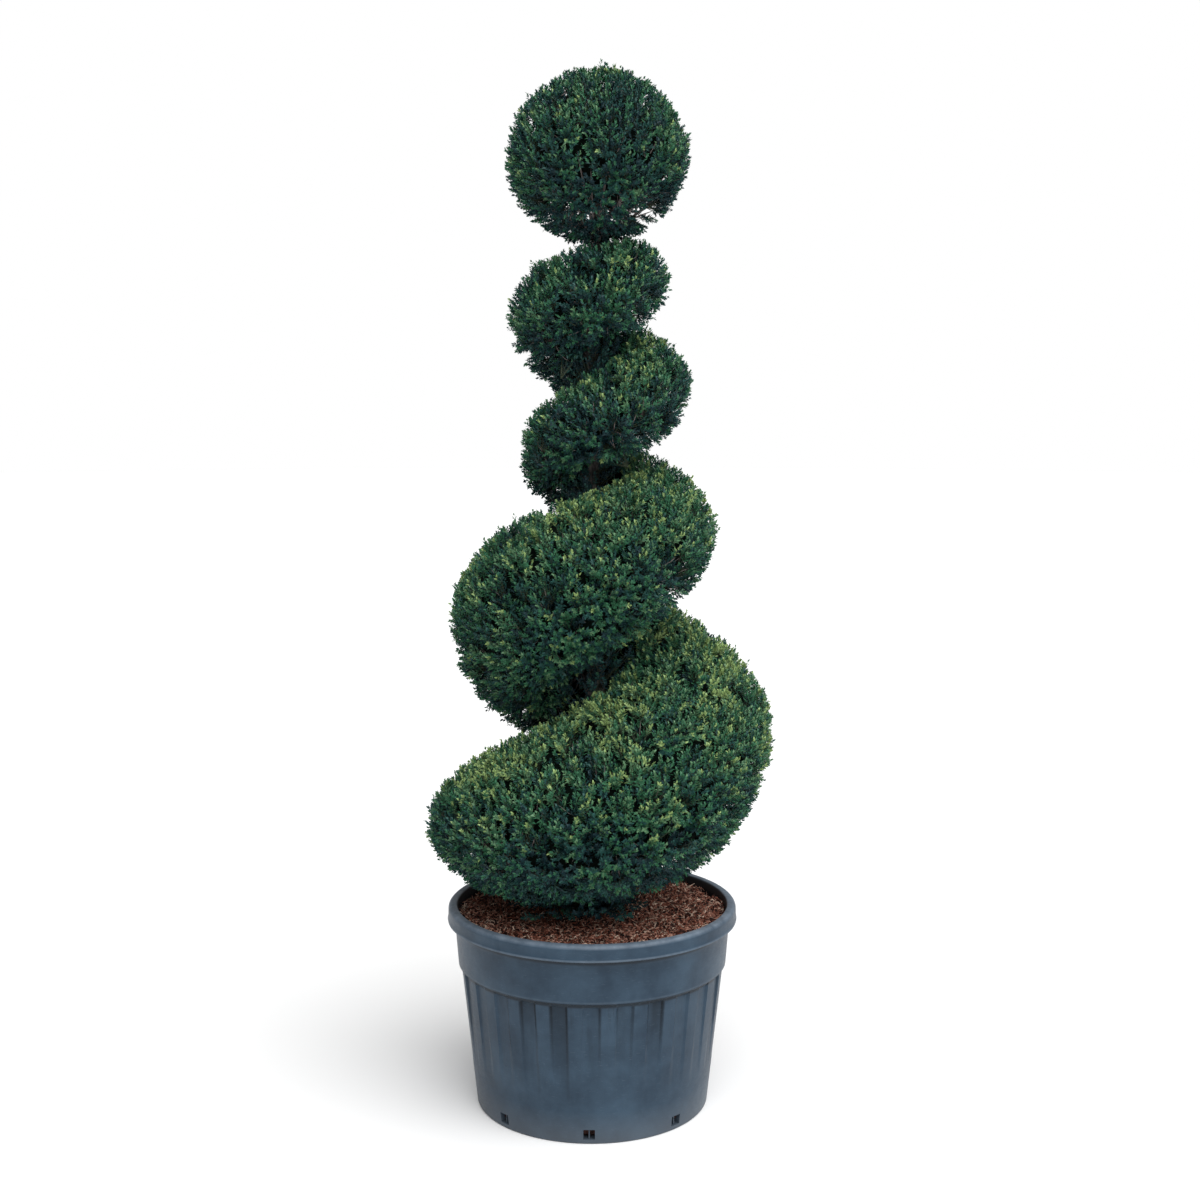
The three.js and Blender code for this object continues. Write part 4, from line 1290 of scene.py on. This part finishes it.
# %% Leaf and spray models
def leaf_model(corners, fold, droop):
    """A leaf one unit long and one unit wide, its stalk at the origin and its tip along +X.

    With six corners it is a drawn-out hexagon, and with four a kite, for the leaves further in.
    """
    bm = bmesh.new()
    rim = bmesh.ops.create_circle(bm, segments=corners, radius=0.5, cap_ends=True)["verts"]
    rim.sort(key=lambda v: v.co.x)
    bmesh.ops.translate(bm, verts=rim, vec=(0.5, 0, 0))
    flanks = ((0.3, 0.5, fold), (0.68, 0.42, fold - droop * 0.4)) if corners == 6 else ((0.46, 0.5, fold),)
    for pair, (x, y, z) in enumerate(flanks):
        for v in rim[1 + 2 * pair : 3 + 2 * pair]:
            v.co = Vector((x, math.copysign(y, v.co.y), z))
    rim[-1].co.z = -droop
    bmesh.ops.connect_verts(bm, verts=[rim[0], rim[-1]])
    return model_arrays(bm)


def spray_model(leaf, pairs, rng):
    """A shoot's leaves as points and triangles. Each pair is its place, opening and leaf length."""
    places, ways, sizes = [], [], []
    for number, (x, opening, length) in enumerate(pairs):
        turned = number * math.pi / 2 + rng.uniform(-0.4, 0.4)
        for side in (0, math.pi):
            angle = turned + side + rng.uniform(-0.3, 0.3)
            open_by = math.radians(opening + rng.uniform(-10, 10))
            out = math.sin(open_by)
            ways.append((math.cos(open_by), out * math.cos(angle), out * math.sin(angle)))
            places.append((x + rng.uniform(-2, 2), 0, 0))
            grown = length * rng.uniform(0.82, 1.15)
            sizes.append((grown, grown * rng.uniform(0.38, 0.48), grown * 0.5))
    ways = unit(np.array(ways))
    over = np.tile([1.0, 0.0, 0.0], (len(ways), 1))
    top = unit(over - (over * ways).sum(1, keepdims=True) * ways)
    frames = np.stack([ways, np.cross(top, ways), top], axis=1)
    return copies(leaf, np.array(places), frames, np.array(sizes))


# Each pair: its place behind the shoot's tip, its opening in degrees and its leaves' length
LOWER_PAIRS = ((-38, 56, 15), (-29, 50, 16), (-20, 45, 16))
TIP_PAIRS = ((-12, 36, 14.5), (-6, 18, 12))
SPRAY_KINDS = 7
model_rng = np.random.default_rng(5)
KITE = leaf_model(corners=4, fold=0.18, droop=0.1)
HEXAGON = leaf_model(corners=6, fold=0.16, droop=0.12)
SPRAYS = [
    (spray_model(KITE, LOWER_PAIRS, model_rng), spray_model(HEXAGON, TIP_PAIRS, model_rng))
    for _ in range(SPRAY_KINDS)
]
print("triangles in a spray:", sum(len(part[1]) for part in SPRAYS[0]))

# %% [markdown]
# ### Colours of the leaves
#
# Old leaves are a dark blue-green with a waxy gloss, and fresh growth is yellow-green and shows in drifts.
# Each spray is dealt one step of a scale from a score of drift, chance, height and painted light. The painted
# light makes the tints lighter on the upper slopes of the lower turns, less so higher up, and hardly at all
# underneath, and painted shade makes them darker in the hollows left by the shears. A spray's tip leaves are
# a step fresher than its lower leaves.

# %% Dealing out the tints
TINTS = (  # name, colour and roughness, from the oldest leaves to the youngest
    ("shade", "#1a363c", 0.55),
    ("deep", "#27504b", 0.5),
    ("green", "#386c4e", 0.46),
    ("fresh", "#5b815e", 0.44),
    ("young", "#8fa86b", 0.46),
)
TINT_STEPS = (-0.35, 0.25, 0.8, 1.25)  # scores at which the next tint starts
VIGOUR = np.array([(600, 0.08), (1100, 0.5), (1500, 0.36), (1900, 0.1), (2700, -0.12)])  # by height
drift = lumps(shoot_points, size=125, seed=6)
speckle = lumps(shoot_points, size=20, seed=7)
vigour = np.interp(shoot_points[:, 2], *VIGOUR.T)
# Painted light and shade: sprays that face up get lighter tints, and sprays in the shears' hollows darker
# ones.
score = 0.45 * shoot_out[:, 2] + 0.65 * drift + 0.85 * speckle + vigour - cut_back * 0.02
score += growth_rng.normal(0, 0.3, len(shoot_points))
steps = np.digitize(score, TINT_STEPS)
print("sprays by step:", np.bincount(steps[keep], minlength=4))


# %% Make the leaves
MASS_NODES = [f"spiral_mass_{i + 1:02d}" for i in range(MASSES)] + ["top_ball"]
LARGEST = 190000  # triangles in one piece
LEAF_TRIANGLES = 12  # pieces hold a multiple of this, so that no leaf of two or four triangles is split
all_starts = np.concatenate([shoot_starts[keep], shade_starts])
all_tips = np.concatenate([shoot_tips[keep], shade_tips])
# Shade shoots get the darkest tint as painted shade, and one in four the next one.
shade_steps = (growth_rng.random(len(shade_tips)) < 0.25).astype(int)
lower_steps = np.concatenate([steps[keep], shade_steps])
fresh_share = np.concatenate([0.6 + 0.6 * speckle[keep], np.full(len(shade_tips), 0.3)])
fresher = growth_rng.random(len(all_tips)) < fresh_share
tip_steps = np.minimum(lower_steps + fresher, len(TINTS) - 1)
all_ways = unit(all_tips - all_starts)
variant = growth_rng.integers(0, len(SPRAYS), len(all_tips))
frames = frames_along(all_ways, growth_rng.random(len(all_tips)) * 2 * np.pi)
scales = growth_rng.uniform(0.7, 1.02, (len(all_tips), 1)) * np.ones((1, 3))


def leaves_of_tint(tint):
    """All leaves of one tint: the lower leaves of some sprays and the tip leaves of others."""
    batches = []
    for number, (lower, tips) in enumerate(SPRAYS):
        for model, dealt in ((lower, lower_steps), (tips, tip_steps)):
            mine = np.flatnonzero((variant == number) & (dealt == tint))
            if len(mine):
                batches.append(copies(model, all_tips[mine], frames[mine], scales[mine]))
    return join_arrays(batches)


for tint, (name, colour, roughness) in enumerate(TINTS):
    points, triangles = leaves_of_tint(tint)
    # Waxy leaves: an even gloss and no pattern, since each is smaller than any pattern would show.
    material = new_material("leaf_" + name, colour, roughness, gloss=0.3)[0]
    parts = math.ceil(len(triangles) / LARGEST)
    per_part = math.ceil(len(triangles) / LEAF_TRIANGLES / parts) * LEAF_TRIANGLES
    for part in range(parts):
        mine = triangles[part * per_part : (part + 1) * per_part]
        used, numbers = np.unique(mine, return_inverse=True)
        mesh = mesh_of("leaves", points[used], numbers.reshape(-1, 3))
        suffix = f"_{part + 1}" if parts > 1 else ""
        stands_in = MASS_NODES if tint == 0 and part == 0 else ()
        finish_piece("leaves_" + name + suffix, mesh, material, stands_in)

# %% [markdown]
# ### Stems
#
# Shoots have thin green-brown stems, and twigs and branches have grey-brown bark. They show where the leaves
# are few: as pale lines under the turns and as a fan under the ball.

# %% Make the stems
shoot_paths = np.stack([all_starts, all_tips - all_ways * 3], axis=1)
shoot_radii = np.tile([1.3, 0.0], (len(shoot_paths), 1))
shoot_mesh = mesh_of("shoot_stems", *tubes(shoot_paths, shoot_radii, sides=3))
green_stem = new_material("green_stem", "#46503f", roughness=0.8)[0]
finish_piece("shoot_stems", shoot_mesh, green_stem)
branch_arrays = tubes(branch_paths, branch_radii, sides=6)
twig_arrays = tubes(twig_paths, twig_radii, sides=4)
branch_mesh = mesh_of("branches", *join_arrays([branch_arrays, twig_arrays]))
twig_bark = new_material("twig_bark", "#857b79", roughness=0.88)[0]
finish_piece("branches_and_twigs", branch_mesh, twig_bark)

# %% [markdown]
# ### The dark inside
#
# Deep in a clipped mass nothing grows but a tangle of twigs and dead leaves in deep shade, which reads as
# black between the sprays. That shade is painted: a near-black closed body in the screw and one in the ball,
# by the same rule drawn further in, and further still underneath, where the branches show.


# %% Make the inside
INSIDE = {
    "depth": 52, "depth_under": 68, "ball_depth": 60.0, "ball_lift": 46.0, "lump": 40, "unevenness": 9,
}


def screw_inside():
    """Rings along the screw's inside, drawn in further where the sky shows through."""
    turns = np.linspace(FIRST + 0.04, LAST - 0.06, 210)
    rounds = np.linspace(-np.pi, np.pi, 29)[:-1]
    u, v = np.meshgrid(turns, rounds, indexing="ij")
    heart_r, heart_z, edge_r, edge_z = section_at(u, v)
    span = np.hypot(edge_r - heart_r, edge_z - heart_z)
    inset = np.where(np.sin(v) < -0.1, INSIDE["depth_under"], INSIDE["depth"])
    share = np.clip(1 - inset / span, 0.3, 0.85) * end_share(u) ** 1.5
    grid = at_turn(u, mix(heart_r, edge_r, share), mix(heart_z, edge_z, share))
    thin = np.clip(distance_to_sky(grid.reshape(-1, 3)) / 3, 0.25, 1).reshape(u.shape)
    grid = at_turn(u, mix(heart_r, edge_r, share * thin), mix(heart_z, edge_z, share * thin))
    away = unit(grid - at_turn(u, heart_r, heart_z))
    uneven = lumps(grid.reshape(-1, 3), INSIDE["lump"], seed=9).reshape(*u.shape, 1)
    return grid + INSIDE["unevenness"] * uneven * away


def ball_inside():
    """Rings up the ball's inside, lifted at its foot."""
    angles = np.linspace(0, 2 * np.pi, 41)[:-1]
    tilts = np.linspace(-0.48 * np.pi, 0.48 * np.pi, 22)
    t, a = np.meshgrid(tilts, angles, indexing="ij")
    low = np.maximum(-np.sin(t), 0)[..., None]
    grid = ball_surface(a, t, INSIDE["ball_depth"]) + low * np.array([0, 0, INSIDE["ball_lift"]])
    away = unit(grid - [BALL["x"], 0, BALL["height"]])
    uneven = lumps(grid.reshape(-1, 3), INSIDE["lump"], seed=10).reshape(*t.shape, 1)
    return grid + INSIDE["unevenness"] * uneven * away


def painted_shade_body():
    """Both insides as closed bodies in one mesh."""
    bm = bmesh.new()
    sleeve(bm, screw_inside())
    sleeve(bm, ball_inside())
    return mesh_from(bm, "painted_shade_core")


painted_shade_mesh = painted_shade_body()
painted_shade_mesh.shade_smooth()
# Painted shade: a near-black body with hardly any gloss.
painted_inner_shade = new_material("painted_inner_shade", "#06100b", roughness=0.95, gloss=0.1)[0]
finish_piece("painted_shade_core", painted_shade_mesh, painted_inner_shade)

# %% [markdown]
# ## Light and floor
#
# The light is that of a bright overcast day: a white sky all round, and in it a sun behind cloud, a little to
# the right of the camera. A sun lights the pale floor evenly up to the horizon, where a lamp would leave it
# grey. The sky is seen at full white but lights the plant at less than half of that, as in a studio whose
# walls stand far off.

# %% Sky
OVERCAST = {"light": 0.38, "seen": 1.0}
world = bpy.data.worlds.new("overcast")
world.use_nodes = True
background = world.node_tree.nodes["Background"]
background.inputs["Color"].default_value = (1, 1, 1, 1)
seen = add_node(world, "LightPath", {}).outputs["Is Camera Ray"]
brightness = {"Value": seen, "To Min": OVERCAST["light"], "To Max": OVERCAST["seen"]}
strength = add_node(world, "MapRange", brightness)
world.node_tree.links.new(strength.outputs["Result"], background.inputs["Strength"])
bpy.context.scene.world = world
bpy.context.scene.view_settings.view_transform = "Standard"
print("sky lights at", OVERCAST["light"], "and is seen at", OVERCAST["seen"])

# %% Floor and sun
FLOOR_RADIUS = 40  # metres, out to where it meets the sky
SUN = {"strength": 3.6, "width": math.radians(70), "shines": (-0.35, 0.6, -1)}
floor_bm = bmesh.new()
bmesh.ops.create_circle(floor_bm, segments=64, radius=FLOOR_RADIUS, cap_ends=True)
floor_mesh = bpy.data.meshes.new("floor")
floor_bm.to_mesh(floor_mesh)
floor_bm.free()
floor_mesh.materials.append(new_material("pale_floor", "#f8f8f8", roughness=0.9)[0])
floor = bpy.data.objects.new("floor", floor_mesh)
bpy.context.scene.collection.objects.link(floor)
floor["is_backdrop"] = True

sun = bpy.data.lights.new("soft_sun", "SUN")
sun.energy = SUN["strength"]
sun.angle = SUN["width"]
sun_object = bpy.data.objects.new("soft_sun", sun)
sun_object.rotation_euler = Vector(SUN["shines"]).to_track_quat("-Z", "Y").to_euler()
bpy.context.scene.collection.objects.link(sun_object)

# %% Sizes and the end
seen_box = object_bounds()
for axis, letter in enumerate("xyz"):
    low, high = (round(seen_box[end][axis] - cad_box[end][axis], 4) for end in (0, 1))
    print(f"{letter}: visual box less solid box, low {low} m, high {high} m")
